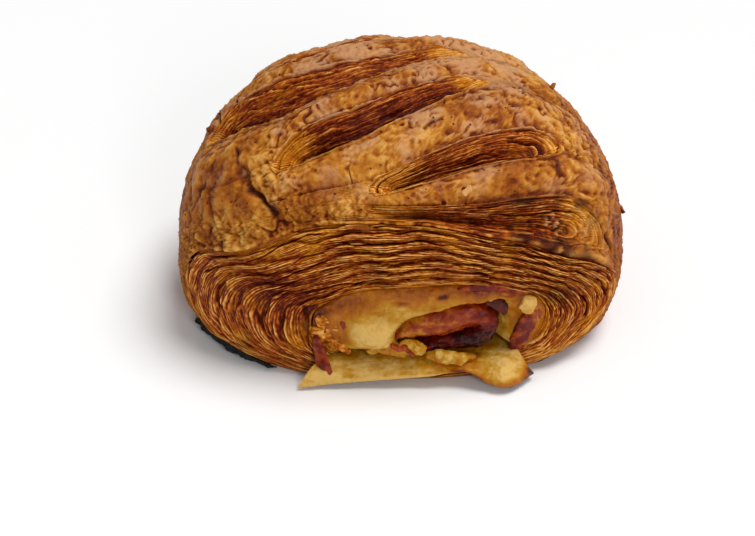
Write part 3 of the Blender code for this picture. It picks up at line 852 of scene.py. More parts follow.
def noise_node(nodes, links, size, detail=3.0, roughness=0.6):
    """Noise over the piece's own coordinates, with features of about size millimetres."""
    place = nodes.new("ShaderNodeTexCoord")
    made = nodes.new("ShaderNodeTexNoise")
    made.inputs["Scale"].default_value = 1.0 / (size * MM)
    made.inputs["Detail"].default_value = detail
    made.inputs["Roughness"].default_value = roughness
    links.new(place.outputs["Object"], made.inputs["Vector"])
    return made.outputs["Fac"]


def fill(links, socket, value):
    """Links a socket to another, or sets it to a plain number or colour."""
    if hasattr(value, "node"):
        links.new(value, socket)
    else:
        socket.default_value = value


def math_node(nodes, links, operation, *values, clamp=False):
    """One operation on sockets and plain numbers."""
    made = nodes.new("ShaderNodeMath")
    made.operation = operation
    made.use_clamp = clamp
    for value, socket in zip(values, made.inputs):
        fill(links, socket, value)
    return made.outputs[0]


def sum_node(nodes, links, a, b, scale_b=1.0, offset=0.0):
    """a + b * scale_b + offset, clamped."""
    total = math_node(nodes, links, "MULTIPLY_ADD", b, scale_b, a)
    return math_node(nodes, links, "ADD", total, offset, clamp=True)


def mottled(nodes, links, value, amount, size, detail, roughness=0.6):
    """value made uneven by noise, up and down alike."""
    noise = noise_node(nodes, links, size, detail, roughness)
    return sum_node(nodes, links, value, noise, amount, -amount / 2)


def range_node(nodes, links, value, low, high):
    """low where value is 0, to high where it is 1."""
    made = nodes.new("ShaderNodeMapRange")
    made.inputs["To Min"].default_value = low
    made.inputs["To Max"].default_value = high
    links.new(value, made.inputs["Value"])
    return made.outputs[0]


def mix_colours(nodes, links, share, a, b):
    """Colour a, turning into b as share goes from 0 to 1."""
    made = nodes.new("ShaderNodeMix")
    made.data_type = "RGBA"
    fill(links, made.inputs[0], share)
    links.new(a, made.inputs[6])
    fill(links, made.inputs[7], b if hasattr(b, "node") else (*b, 1.0))
    return made.outputs[2]


def bump_node(nodes, links, height, distance, strength=1.0):
    """A bump distance mm high."""
    made = nodes.new("ShaderNodeBump")
    made.inputs["Distance"].default_value = distance * MM
    made.inputs["Strength"].default_value = strength
    links.new(height, made.inputs["Height"])
    return made.outputs["Normal"]


def streaks(nodes, links):
    """Fine noise drawn out along the sheets of dough, from the count of sheets that each point carries."""
    place = nodes.new("ShaderNodeTexCoord")
    parts = nodes.new("ShaderNodeSeparateXYZ")
    links.new(place.outputs["Object"], parts.inputs[0])
    turn = math_node(nodes, links, "MULTIPLY", attribute(nodes, "turn"), 2.6)
    across, up = (math_node(nodes, links, "MULTIPLY", parts.outputs[axis], 420.0) for axis in ("X", "Z"))
    spot = nodes.new("ShaderNodeCombineXYZ")
    for source, target in zip((across, turn, up), spot.inputs):
        links.new(source, target)
    made = nodes.new("ShaderNodeTexNoise")
    made.inputs["Scale"].default_value = 1.0
    made.inputs["Detail"].default_value = 3.0
    links.new(spot.outputs[0], made.inputs["Vector"])
    return made.outputs["Fac"]


def pinholes(nodes, links, size, radius):
    """1 in scattered little holes, of which a cell of this size has one at most."""
    place = nodes.new("ShaderNodeTexCoord")
    cells = nodes.new("ShaderNodeTexVoronoi")
    cells.inputs["Scale"].default_value = 1.0 / (size * MM)
    links.new(place.outputs["Object"], cells.inputs["Vector"])
    hole = nodes.new("ShaderNodeMapRange")
    hole.inputs["From Min"].default_value = radius
    hole.inputs["From Max"].default_value = radius * 0.5
    links.new(cells.outputs["Distance"], hole.inputs["Value"])
    colour = nodes.new("ShaderNodeSeparateColor")
    links.new(cells.outputs["Color"], colour.inputs[0])
    chance = math_node(nodes, links, "GREATER_THAN", colour.outputs[0], 0.65)
    return math_node(nodes, links, "MULTIPLY", hole.outputs[0], chance)


def dough_material():
    """Baked dough: blotched crust with painted sheen and painted shade, and stacked sheets where it is cut, with
    painted shade in their gaps.
    """
    material, nodes, links, shader = new_material("croissant_dough")
    toast_and_shade = mottled(nodes, links, attribute(nodes, "toast_and_shade"), 0.5, 4.0, 5.0)
    toast_and_shade = mottled(nodes, links, toast_and_shade, 0.5, 0.9, 4.0, 0.7)
    crust = ramp_node(nodes, (
        (0.0, (0.74, 0.38, 0.085)),
        (0.25, (0.53, 0.20, 0.020)),
        (0.5, (0.36, 0.098, 0.006)),
        (0.75, (0.20, 0.035, 0.002)),
        (1.0, (0.075, 0.009, 0.001)),
    ))
    links.new(toast_and_shade, crust.inputs[0])
    # Painted sheen on the crust, and the pale crumbs and flakes, mixed in as a pale matte colour
    specks = noise_node(nodes, links, 1.3, 5.0, 0.7)
    sheen_share = sum_node(nodes, links, attribute(nodes, "sheen_and_pale"), specks, 1.0, -0.52)
    sheen_and_pale = mix_colours(nodes, links, sheen_share, crust.outputs[0], (0.59, 0.295, 0.135))
    # Painted shade in the pinholes: colour taken nearly to black there
    holes = pinholes(nodes, links, 2.4, 0.16)
    crust_colour = mix_colours(nodes, links, holes, sheen_and_pale, (0.07, 0.016, 0.005))
    # The sheets' colour from the edge mask: painted shade, near black, in the gaps between sheets and painted
    # light on their edges, over their own golden tone
    edge = sum_node(nodes, links, attribute(nodes, "edge"), streaks(nodes, links), 0.75, -0.375)
    edge = mottled(nodes, links, edge, 0.5, 0.9, 2.0)
    sheets = ramp_node(nodes, (
        (0.0, (0.050, 0.003, 0.0)),
        (0.22, (0.150, 0.015, 0.001)),
        (0.5, (0.36, 0.068, 0.004)),
        (0.78, (0.59, 0.20, 0.024)),
        (1.0, (0.82, 0.42, 0.12)),
    ))
    links.new(edge, sheets.inputs[0])
    golden = ramp_node(nodes, (
        (0.0, (0.14, 0.028, 0.001)),
        (0.35, (0.42, 0.115, 0.001)),
        (0.7, (0.66, 0.24, 0.010)),
        (1.0, (0.88, 0.46, 0.12)),
    ))
    links.new(edge, golden.inputs[0])
    cut = mix_colours(nodes, links, attribute(nodes, "golden"), sheets.outputs[0], golden.outputs[0])
    colour = mix_colours(nodes, links, attribute(nodes, "layer"), crust_colour, cut)
    # Scorched patches, and painted shade in the dents, mixed towards black
    colour = mix_colours(nodes, links, attribute(nodes, "scorch_and_shade"), colour, (0.028, 0.006, 0.003))
    links.new(colour, shader.inputs["Base Color"])
    gloss = range_node(nodes, links, noise_node(nodes, links, 6.0, 4.0), 0.30, 0.60)
    links.new(gloss, shader.inputs["Roughness"])
    shader.inputs["Specular IOR Level"].default_value = 0.09
    grain = sum_node(nodes, links, noise_node(nodes, links, 0.8, 4.0, 0.65), edge, 0.5)
    relief = sum_node(nodes, links, grain, holes, -0.9)
    links.new(bump_node(nodes, links, relief, 0.30), shader.inputs["Normal"])
    return material


def cheese_material():
    """Melted cheese: pale where thick, browned where the mask says."""
    material, nodes, links, shader = new_material("croissant_cheese")
    tone = mottled(nodes, links, attribute(nodes, "brown"), 0.4, 3.5, 4.0)
    tone = mottled(nodes, links, tone, 0.3, 1.1, 3.0)
    colour = ramp_node(nodes, (
        (0.0, (0.70, 0.43, 0.11)),
        (0.25, (0.50, 0.235, 0.008)),
        (0.5, (0.43, 0.125, 0.0005)),
        (0.78, (0.27, 0.060, 0.001)),
        (1.0, (0.07, 0.010, 0.001)),
    ))
    links.new(tone, colour.inputs[0])
    links.new(colour.outputs[0], shader.inputs["Base Color"])
    shader.inputs["Roughness"].default_value = 0.16
    shader.inputs["Specular IOR Level"].default_value = 0.2
    shader.inputs["Subsurface Weight"].default_value = 0.12
    shader.inputs["Subsurface Radius"].default_value = (0.004, 0.0025, 0.001)
    shader.inputs["Subsurface Scale"].default_value = 0.6
    links.new(bump_node(nodes, links, noise_node(nodes, links, 1.4, 5.0), 0.55), shader.inputs["Normal"])
    return material


def ham_material():
    """Baked ham: dark red and wet, streaked with paler fat."""
    material, nodes, links, shader = new_material("croissant_ham")
    tone = mottled(nodes, links, attribute(nodes, "dark"), 0.7, 2.4, 4.0)
    colour = ramp_node(nodes, (
        (0.0, (0.56, 0.22, 0.02)),
        (0.28, (0.33, 0.048, 0.002)),
        (0.55, (0.165, 0.008, 0.0005)),
        (1.0, (0.022, 0.001, 0.001)),
    ))
    links.new(tone, colour.inputs[0])
    links.new(colour.outputs[0], shader.inputs["Base Color"])
    gloss = range_node(nodes, links, attribute(nodes, "dark"), 0.26, 0.07)
    links.new(gloss, shader.inputs["Roughness"])
    shader.inputs["Specular IOR Level"].default_value = 0.22
    links.new(bump_node(nodes, links, noise_node(nodes, links, 1.0, 3.0), 0.35), shader.inputs["Normal"])
    return material


def burnt_material():
    """Cheese burnt black."""
    material, nodes, links, shader = new_material("croissant_burnt")
    colour = ramp_node(nodes, (
        (0.0, (0.003, 0.003, 0.004)),
        (0.6, (0.008, 0.007, 0.007)),
        (1.0, (0.06, 0.03, 0.015)),
    ))
    links.new(noise_node(nodes, links, 2.0, 4.0), colour.inputs[0])
    links.new(colour.outputs[0], shader.inputs["Base Color"])
    shader.inputs["Roughness"].default_value = 0.5
    shader.inputs["Specular IOR Level"].default_value = 0.2
    links.new(bump_node(nodes, links, noise_node(nodes, links, 0.8, 4.0), 0.4), shader.inputs["Normal"])
    return material


# The dough

def crust_toast_and_shade(points, blister, crease_shade, raised):
    """How browned the crust is, from 0 pale gold to 1 dark, with painted shade added in hollows, cracks, pits and
    dents and over the right side towards the front, and painted light on raised bits.
    """
    broad = rough(points, 20.0, 71, 2)
    patch = rough(points, 5.0, 72, 3)
    gold = spots(points, GOLDEN)
    upright = ramp(np.abs(points[..., 0]), 50.0, 62.0)
    # Painted shade in hollows, cracks, pits and dents, painted light on raised bits, a little lighter on blisters
    relief = 0.9 * (0.5 - raised) * (1 - 0.35 * upright) + 0.45 * crease_shade - 0.12 * blister
    # Painted shade over the right side towards the front
    side = 0.16 * ramp(points[..., 0], 48.0, 63.0) * ramp(-points[..., 1], -20.0, 10.0)
    patchy = 0.42 * patch * (1 - 0.45 * upright)
    return np.clip(0.51 + 0.20 * broad + patchy - 0.34 * gold + relief + side, 0.0, 1.0)


def add_dough(angles, material):
    """The crust in four pieces, cut in the valleys of its scores, and both ends."""
    top, masks, band = top_surface(angles)
    crease_shade = masks.pop("crease_shade")
    raised = masks.pop("raised")
    masks["toast_and_shade"] = crust_toast_and_shade(top, masks.pop("blister"), crease_shade, raised)
    facing_up = dome_normals(top)[..., 2]
    high, back = ramp(top[..., 2], 62.0, 71.0), ramp(top[..., 1], -14.0, 4.0)
    # Painted sheen: paler on raised, up-facing crust, more so high at the back, in random patches
    sheen_field = rough(top, 9.0, 78, 4) + 0.7 * (raised - 0.5) + 0.26 * high * back
    sheen_and_pale = 0.85 * ramp(sheen_field, -0.06, 0.42) * ramp(facing_up, 0.3, 0.9)
    crumbs = masks.pop("crumbs")
    masks["sheen_and_pale"] = np.maximum(sheen_and_pale, crumbs)
    masks["toast_and_shade"] = masks["toast_and_shade"] * (1 - 0.8 * crumbs)
    masks["golden"] = np.clip(masks.pop("swirl") + 0.35 * ramp(rough(top, 10.0, 73, 2), 0.1, 0.5), 0.0, 1.0)
    hollow = masks.pop("share")
    ridge_line = (band < 2)[:, None] * ramp(top[..., 0], 18.0, 34.0) * (1 - ramp(top[..., 0], 50.0, 58.0))
    scorched = ramp(wander(top, 5.0, 77), -0.6, 0.3)
    ridge_scorch = 0.75 * ridge_line * ramp(hollow, 0.3, 0.9) * scorched * (1 - crumbs)
    # Scorched front ridge, and painted shade taking the dents nearly to black
    masks["scorch_and_shade"] = np.maximum(ridge_scorch, 0.7 * masks.pop("dent"))
    valley_rows = []
    start = 0
    for number, count in enumerate(BAND_ROWS):
        if number % 2 == 1:
            valley_rows.append(start + round(count * (1 + VALLEY) / 2))
        start += count
    cuts = [0, valley_rows[1], valley_rows[2], valley_rows[3], len(top) - 1]
    for number, (first, last) in enumerate(zip(cuts, cuts[1:])):
        rows = slice(first, last + 1)
        part = {key: values[rows] for key, values in masks.items()}
        faces = round_faces(last + 1 - first, len(angles))
        add_piece(f"crust_{number + 1}", top[rows], faces, part, material, "baked_dough", "pastry")
    add_front(angles, material)
    add_back(angles, material)


def add_front(angles, material):
    """The layered front end and the start of its tunnel."""
    points, masks = front_surface(angles)
    share = masks.pop("share")
    golden = 0.7 * (1 - ramp(share, 0.0, 0.12)) + 0.9 * ramp(rough(points, 8.0, 74, 3), -0.05, 0.35)
    masks["golden"] = np.clip(golden - 2.0 * masks.pop("shaded"), 0.0, 1.0)
    masks["toast_and_shade"] = np.full_like(share, 0.5)
    masks["sheen_and_pale"] = np.zeros_like(share)
    masks["scorch_and_shade"] = 0.45 * ramp(wander(points, 9.0, 75), 0.3, 0.8)
    inward = points[0] + np.array([0.0, 14.0, 0.0])
    points = np.concatenate([inward[None], (points[0] + (inward - points[0]) * 0.3)[None], points])
    masks = {key: np.concatenate([values[:1], values[:1], values]) for key, values in masks.items()}
    faces = round_faces(len(points), len(angles))
    add_piece("front_layers", points, faces, masks, material, "baked_dough", "pastry")


def add_back(angles, material):
    """The layered back end and the start of its tunnel."""
    points, masks = back_surface(angles)
    share = masks.pop("share")
    masks["golden"] = 0.5 * ramp(rough(points, 11.0, 76, 2), 0.0, 0.5)
    masks["toast_and_shade"] = np.full_like(share, 0.5)
    masks["sheen_and_pale"] = np.zeros_like(share)
    masks["scorch_and_shade"] = 0.3 * ramp(share, 0.9, 1.0)
    inward = points[-1] + np.array([0.0, -12.0, 0.0])
    points = np.concatenate([points, inward[None]])
    masks = {key: np.concatenate([values, values[-1:]]) for key, values in masks.items()}
    faces = round_faces(len(points), len(angles))
    add_piece("back_layers", points, faces, masks, material, "baked_dough", "pastry")


# The filling

# Stretches of the mouth's rim, in degrees from its top, where the ham lining shows between the cheese
LINING_SHOWS = ((40.0, 72.0), (80.0, 106.0), (-108.0, -94.0))


def add_lining(material):
    """The slice of ham that lines the tunnel."""
    degrees = np.linspace(-104.0, 103.0, 160)
    angles = np.radians(degrees)
    floor = SHEET_TOP + CLEARANCE
    outlines = []
    for inset in (CLEARANCE + LINING_THICKNESS, CLEARANCE):
        x, z = mouth_outline(FRONT_MOUTH, angles, inset)
        outlines.append((x, np.maximum(z, floor)))
    shows = sum(
        ramp(degrees, low - 4, low + 4) * (1 - ramp(degrees, high - 4, high + 4))
        for low, high in LINING_SHOWS
    )
    uneven = 0.5 * wander(np.stack([degrees / 9, degrees * 0, degrees * 0], -1), 1.0, 81)
    points = through_food(*outlines, -2.6 + 3.6 * shows + uneven, 0.4 + uneven, 1.2, 0.25, 82)
    masks = {"dark": np.clip(0.4 + 0.45 * rough(points, 5.0, 83, 2), 0.0, 1.0)}
    add_slab("ham_lining_slice", points, masks, material, "ham", "ham_lining")


# The folded slice, seen from the front: (across, up, thickness) along it
FOLD = (
    (6.0, 10.2, 1.8), (9.5, 11.0, 4.0), (13.5, 12.0, 4.4), (18.0, 12.9, 5.6), (22.0, 14.0, 7.0),
    (24.2, 16.8, 6.8), (23.2, 20.0, 6.6), (18.8, 20.6, 8.0), (13.5, 19.0, 8.6), (8.6, 18.0, 8.0), (3.6, 16.8, 6.2),
    (-1.4, 15.0, 1.6),
)
CORE_CENTRE = (13.0, 15.8)


def fold_outline(count=200):
    """(x, z) along both faces of the folded slice."""
    path = np.array(FOLD)
    steps = np.arange(len(path), dtype=float)
    x, z, thick = (dense(steps, path[:, i], count) for i in range(3))
    run_x, run_z = np.gradient(x), np.gradient(z)
    length = np.hypot(run_x, run_z)
    side_x, side_z = -run_z / length * thick / 2, run_x / length * thick / 2
    return (x + side_x, z + side_z), (x - side_x, z - side_z)


def add_fold(material):
    """The folded slice of ham."""
    along = np.linspace(0.0, 11.0, 200)
    bulge = 0.6 + 2.2 * bell(along, 4.2, 2.0) + 0.8 * bell(along, 8.0, 2.0)
    points = through_food(*fold_outline(), bulge, 1.0, 3.4, 0.5, 84)
    points = points + 0.8 * each_way(rough, points, (3.6, 1.8, 1.5), 98, 3)
    along = along[None, None, :] * np.ones(points.shape[:-1])
    low = 1.15 * bell(along, 3.4, 2.3)
    tip = 1 - ramp(along, 0.5, 2.0)
    fatty = ramp(along, 8.0, 10.0)
    mottle = 0.46 * rough(points, (4.2, 3.0, 1.6), 85, 3)
    masks = {"dark": np.clip(0.36 + 0.62 * low + 0.2 * tip - 0.14 * fatty + mottle, 0.0, 1.0)}
    add_slab("ham_folded_slice", points, masks, material, "ham", "ham_fold")


def core_hole(angles):
    """How far the melted cheese starts from its centre: just off the folded slice, with one dark hollow."""
    outline = np.concatenate([np.array(side).T for side in fold_outline()]) - np.array(CORE_CENTRE)
    bearing, far = np.arctan2(outline[:, 0], outline[:, 1]), np.hypot(*outline.T)
    near = np.abs(np.angle(np.exp(1j * (angles[:, None] - bearing)))) < math.radians(7.0)
    radius = np.where(near, far, 2.0).max(1) + 0.4
    hollow = 3.4 * bell(np.degrees(angles), 60.0, 8.0)
    return np.convolve(np.pad(radius, 6, mode="edge"), np.ones(13) / 13, mode="valid") + hollow


def cheese_brown(base, places=(), noise=0.3, size=7.0):
    """A mask function: how browned cheese is, with patches (across, back, up, radius, strength)."""
    def value(points):
        return np.clip(base + noise * rough(points, size, 87, 3) + spots(points, places), 0.0, 1.0)
    return value


def add_core(material):
    """The cheese that fills the tunnel, behind what melted out over its front."""
    angles = np.radians(np.linspace(-97.0, 97.0, 180))
    floor = SHEET_TOP + CLEARANCE
    sides, ups = np.sin(angles), np.cos(angles)
    far = core_hole(angles)
    inner = (CORE_CENTRE[0] + far * sides, np.maximum(CORE_CENTRE[1] + far * ups, floor))
    roof = mouth_outline(FRONT_MOUTH, angles, 3.2)
    roof = (roof[0], np.maximum(roof[1], floor))
    lumpy = wander(np.stack([np.degrees(angles) / 14, angles * 0, angles * 0], -1), 1.0, 79)
    points = through_food(inner, roof, -1.5 + 0.4 * lumpy, 0.4 + lumpy, 5.5, 0.8, 86)
    masks = {"brown": cheese_brown(0.2)(points)}
    add_slab("melted_core", points, masks, material, "melted_cheese", "cheese_core")


# Swellings of the melted front: across, up, how far each way, height
MELTED_LUMPS = (
    (-8.0, 16.8, 8.5, 6.0, 4.0), (-1.5, 21.5, 5.0, 3.5, 1.4), (30.5, 12.0, 4.0, 5.0, 0.9),
    (12.0, 27.5, 14.0, 2.6, 1.0),
    (-17.0, 19.0, 5.0, 5.0, 1.2), (34.8, 23.0, 2.6, 2.4, 2.2), (1.5, 11.5, 4.0, 3.0, 2.0),
    (36.5, 12.0, 3.0, 5.0, 1.0),
)
MELTED_PALE = ((-6.5, 18.0, 5.5, 4.5, 0.34), (29.5, 12.0, 3.0, 4.0, 0.10))
MELTED_BROWNED = (
    (0.5, 26.5, 2.2, 1.0, 0.75), (11.5, 28.4, 2.2, 0.9, 0.75), (-6.0, 23.6, 2.6, 1.0, 0.45),
    (-10.0, 24.5, 9.0, 3.0, 0.25), (6.0, 27.5, 9.0, 3.0, 0.30), (22.0, 28.0, 10.0, 3.4, 0.50),
    (33.0, 18.0, 3.4, 10.0, 0.45),
    (-21.0, 20.0, 4.0, 6.0, 0.35), (2.0, 14.5, 3.6, 5.0, 0.40), (12.0, 24.6, 8.0, 2.0, 0.20),
    (-15.5, 15.5, 2.4, 4.0, 0.35), (34.0, 13.0, 2.0, 6.0, 0.25),
)


def add_melted_front(material):
    """Cheese melted over the open end, from the folded slice out onto the dough round the mouth."""
    rows, count = 64, 290
    angles = np.radians(np.linspace(-102.0, 106.0, count))
    sides, ups = np.sin(angles), np.cos(angles)
    far = core_hole(angles) - 0.7
    inner = np.stack([CORE_CENTRE[0] + far * sides, CORE_CENTRE[1] + far * ups])
    tongue_left = ramp(-sides, 0.75, 1.0)
    ragged = 0.5 * rough(np.stack([np.degrees(angles) / 14, angles * 0, angles * 0], -1), 1.0, 94, 3)
    outer = np.stack(mouth_outline(FRONT_MOUTH, angles, 0.1 + ragged + 0.3 * tongue_left))
    share = np.linspace(0.0, 1.0, rows)[:, None]
    x, z = (inner[i] + (outer[i] - inner[i]) * share for i in (0, 1))
    z = np.maximum(z, SHEET_TOP + 0.4)
    plane = np.stack([x, np.zeros_like(x), z], -1)
    lumps = ovals(x, z, MELTED_LUMPS) + 1.2 * rough(plane, 6.0, 95, 3) + 0.34 * rough(plane, 1.7, 96, 2)
    right = ramp(sides, 0.80, 0.97) * ramp(-ups, -0.75, -0.3)
    round_in = (2.2 + 3.2 * right) * (1 - np.clip(share / (0.14 + 0.5 * right), 0.0, 1.0)) ** 2
    meet_dough = 0.6 * np.clip((share - 0.84) / 0.16, 0.0, 1.0) ** 2
    front = dome_depth(x, z, -1) + MOUTH_RECESS - 0.6 - lumps + round_in + meet_dough
    faces = [np.stack([x, y, z], -1) for y in (front, front + 5.0)]
    points = np.array(faces)
    brown = 0.16 + 0.40 * ramp(share, 0.45, 1.0) + ovals(x, z, MELTED_BROWNED) - ovals(x, z, MELTED_PALE)
    brown = brown + 0.34 * rough(plane, 3.4, 97, 4)
    masks = {"brown": np.clip(np.stack([brown, brown]), 0.0, 1.0)}
    add_slab("melted_front", points, masks, material, "melted_cheese", "cheese_core")


# Strips in the melted front: name, path (across, up), widths, thickness, how far behind the dome, lumps,
# look and node
STRIPS = (
    ("cheese_cube", ((33.0, 24.4), (36.8, 21.8)), (3.2, 4.6, 3.8), 3.6, 2.6, 0.9, "pale", "cheese_core"),
    (
        "ham_top", ((15.5, 30.0), (20.0, 30.2), (26.0, 29.6), (31.0, 28.3), (35.6, 26.0)),
        (0.8, 2.2, 2.6, 3.0, 3.2, 1.4), 2.2, 4.2, 0.5, "deep", "ham_lining",
    ),
    (
        "ham_right", ((36.4, 21.0), (34.9, 16.0), (33.3, 11.0), (32.2, 6.8)),
        (3.0, 5.6, 5.8, 3.4), 2.6, 3.7, 0.8, "deep", "ham_lining",
    ),
    (
        "ham_left", ((-23.0, 15.2), (-22.4, 11.0), (-21.0, 7.0), (-19.0, 2.6)),
        (1.6, 3.4, 4.2, 1.6), 1.4, (2.4, 1.6, -0.8, -2.8), 0.6, "deep", "ham_lining",
    ),
    (
        "ham_scrap", ((-15.6, 20.6), (-14.8, 17.4), (-14.6, 14.2)),
        (1.2, 2.8, 2.0), 1.8, 3.1, 0.6, "deep", "ham_lining",
    ),
    (
        "ham_curl", ((-2.4, 14.6), (-0.4, 13.2), (1.6, 13.2), (4.2, 10.8)),
        (0.8, 1.7, 1.5, 1.0), 1.8, 1.3, 0.45, "deep", "ham_fold",
    ),
    (
        "cheese_lumps", ((-9.0, 12.2), (-4.5, 12.2), (-0.5, 12.0), (3.5, 12.4), (7.5, 11.2)),
        (2.0, 3.2, 4.0, 4.6, 3.0), 3.6, 2.6, 1.2, "lumpy", "cheese_core",
    ),
    (
        "cheese_ridge", ((7.0, 8.9), (11.5, 9.4), (16.0, 8.8), (21.0, 8.2)),
        (1.6, 4.0, 4.6, 3.6, 1.4), 2.8, (3.0, 1.5, 0.8, 1.8), 0.9, "lumpy", "cheese_sheet",
    ),
    (
        "ham_burnt_end", ((23.2, 25.3), (25.8, 24.8), (28.0, 22.8), (29.0, 20.6)),
        (1.0, 3.2, 3.2, 1.2), 1.8, 3.9, 0.4, "burnt", "ham_fold",
    ),
    (
        "dough_lip", ((-24.6, 17.4), (-21.4, 14.4), (-17.6, 11.8), (-13.4, 9.8)),
        (2.4, 5.2, 4.6, 1.6), 1.4, 3.3, 0.7, "crumbled", "pastry",
    ),
    (
        "dough_curl", ((-22.4, 21.0), (-19.8, 18.4), (-17.8, 14.6)),
        (3.0, 6.4, 5.0), 1.6, 3.7, 0.8, "crumbled", "pastry",
    ),
)


def evenly(value):
    """A mask function: the same value everywhere."""
    return lambda points: np.full(points.shape[:-1], value)


def add_mouth_details(cheese, ham, dough):
    """The scraps of ham, dough and cheese that show in the melted front."""
    deep = {"dark": lambda points: np.clip(0.46 + 0.6 * rough(points, 3.0, 92, 3), 0.0, 1.0)}
    crumbled = {
        "layer": evenly(1.0),
        "edge": lambda points: np.clip(0.52 + 1.1 * rough(points, (2.4, 1.3, 1.0), 93, 3), 0.0, 1.0),
        "golden": evenly(0.5),
        "turn": lambda points: points[..., 2] * 0.9 + points[..., 0] * 0.5,
    }
    looks = {
        "pale": ({"brown": cheese_brown(0.0)}, cheese, "melted_cheese"),
        "lumpy": ({"brown": cheese_brown(0.30, noise=0.7, size=2.6)}, cheese, "melted_cheese"),
        "deep": (deep, ham, "ham"),
        "burnt": ({"dark": evenly(0.85)}, ham, "ham"),
        "crumbled": (crumbled, dough, "baked_dough"),
    }
    for name, path, widths, thickness, sink, lumps, look, node in STRIPS:
        masks, material, slot = looks[look]
        add_ribbon(name, path, widths, thickness, sink, lumps, masks, material, slot, node)


# The tongue of cheese along its tip: across, back, up, half thickness
TONGUE_TIP = (
    (-28.5, -52.0, 0.6, 0.40), (-20.0, -51.5, 1.5, 0.60), (-10.0, -51.2, 2.4, 0.65), (8.0, -50.8, 3.9, 1.0),
    (19.0, -50.2, 4.9, 1.6), (25.0, -51.4, 1.6, 2.4), (31.0, -51.8, 1.1, 2.6), (37.5, -47.2, 2.2, 1.5),
)


def tunnel_floor(offset):
    """z of the tunnel's floor at this distance from its middle."""
    share = np.clip(np.abs(offset) / (FRONT_MOUTH[2] - CLEARANCE), 0.0, 1.0)
    drop = (1 - share**MOUTH_POWER) ** (1 / MOUTH_POWER)
    return FRONT_MOUTH[1] - (FRONT_MOUTH[3] - CLEARANCE) * drop


def add_sheet(material):
    """The slice of cheese under the filling, and its tongue."""
    count = 260
    across = np.linspace(-1.0, 1.0, count)
    offset = SHEET_HALF_WIDTH * across
    x = FRONT_MOUTH[0] + offset
    top = np.full(count, SHEET_TOP)
    under = np.minimum(tunnel_floor(offset), SHEET_TOP - 0.8)
    lower, upper = [], []
    for along in (1.0, 0.98, 0.9, 0.7, 0.4, 0.2, 0.1, 0.05, 0.02, 0.0):
        upper.append(tunnel_place(x, top, along))
        lower.append(tunnel_place(x, under, along))
    tip_x, tip_y, tip_z, tip_half = np.array(TONGUE_TIP).T
    end_x = tip_x[0] + (tip_x[-1] - tip_x[0]) * (across + 1) / 2
    end_y, end_z, end_half = (smooth_through(tip_x, values, end_x) for values in (tip_y, tip_z, tip_half))
    start = (lower[-1] + upper[-1]) / 2
    start_half = (upper[-1][:, 2] - lower[-1][:, 2]) / 2
    steps = np.linspace(0.0, 1.0, 34)[1:]
    for step in steps:
        out, down = math.sin(step * math.pi / 2), 1 - math.cos(step * math.pi / 2)
        middle = np.stack([
            start[:, 0] + (end_x - start[:, 0]) * np.where(across < 0, step**0.5, step**1.5),
            start[:, 1] + (end_y - start[:, 1]) * out,
            start[:, 2] + (end_z - start[:, 2]) * down,
        ], -1)
        half = start_half + (end_half - start_half) * min(1.4 * step, 1.0)
        half = half * math.sqrt(max(1 - max((step - 0.86) / 0.14, 0.0) ** 2, 0.02))
        tilt = math.radians(15 + 55 * step)
        side = np.array([0.0, -math.sin(tilt), math.cos(tilt)])
        upper.append(middle + side * half[:, None])
        lower.append(middle - side * half[:, None])
    points = np.array([lower, upper])
    outside = ramp(-points[..., 1], 40.0, 47.0)
    lumpy = 0.45 * rough(points, 5.0, 88, 3)
    lumpy = lumpy + 0.6 * rough(points, 2.2, 80, 3) * ramp(points[..., 0], 0.0, 12.0)
    lumpy = lumpy + 0.16 * rough(points, 1.5, 99, 2)
    points = points + (outside * lumpy)[..., None] * np.array([0.0, -0.8, 0.6])
    points[..., 2] = np.maximum(points[..., 2], 0.15)
    rows = points.shape[1]
    along = np.clip((np.arange(rows) - (rows - len(steps) - 1)) / len(steps), 0.0, 1.0)[None, :, None]
    along = along * np.ones(points.shape[:-1])
    place = points[..., 0]
    lobe = bell(place, 29.0, 7.0)
    right = ramp(place, 12.0, 20.0)
    brown = 0.09 + 0.44 * rough(points, (5.0, 2.4, 2.4), 89, 4) + 0.30 * right * (1 - lobe)
    brown = brown + (0.35 * ramp(along, 0.70, 0.92) + 0.5 * ramp(along, 0.92, 1.0)) * right
    # Painted shade at the root, inside the mouth and just out of it; browner at the far right end
    brown = brown + 0.22 * (1 - ramp(along, 0.0, 0.3)) + 0.5 * ramp(place, 33.0, 37.0)
    brown = brown + ovals(place, along, ((14.0, 0.45, 9.0, 0.3, 0.34), (15.5, 0.9, 3.5, 0.2, 0.5)))
    brown = brown - 0.2 * ramp(along, 0.75, 1.0) * (1 - right) - 0.12 * lobe * (1 - ramp(along, 0.6, 0.9))
    masks = {"brown": np.clip(brown, 0.0, 1.0)}
    add_slab("cheese_tongue", points, masks, material, "melted_cheese", "cheese_sheet")


def foot_radius(x_way, y_way, z):
    """How far out the outline lies at a height, along level ways."""
    return bisect(
        lambda t: dome(np.stack([t * x_way, t * y_way, np.full_like(x_way, z)], -1)) > 1.0, x_way.shape, 90.0
    )


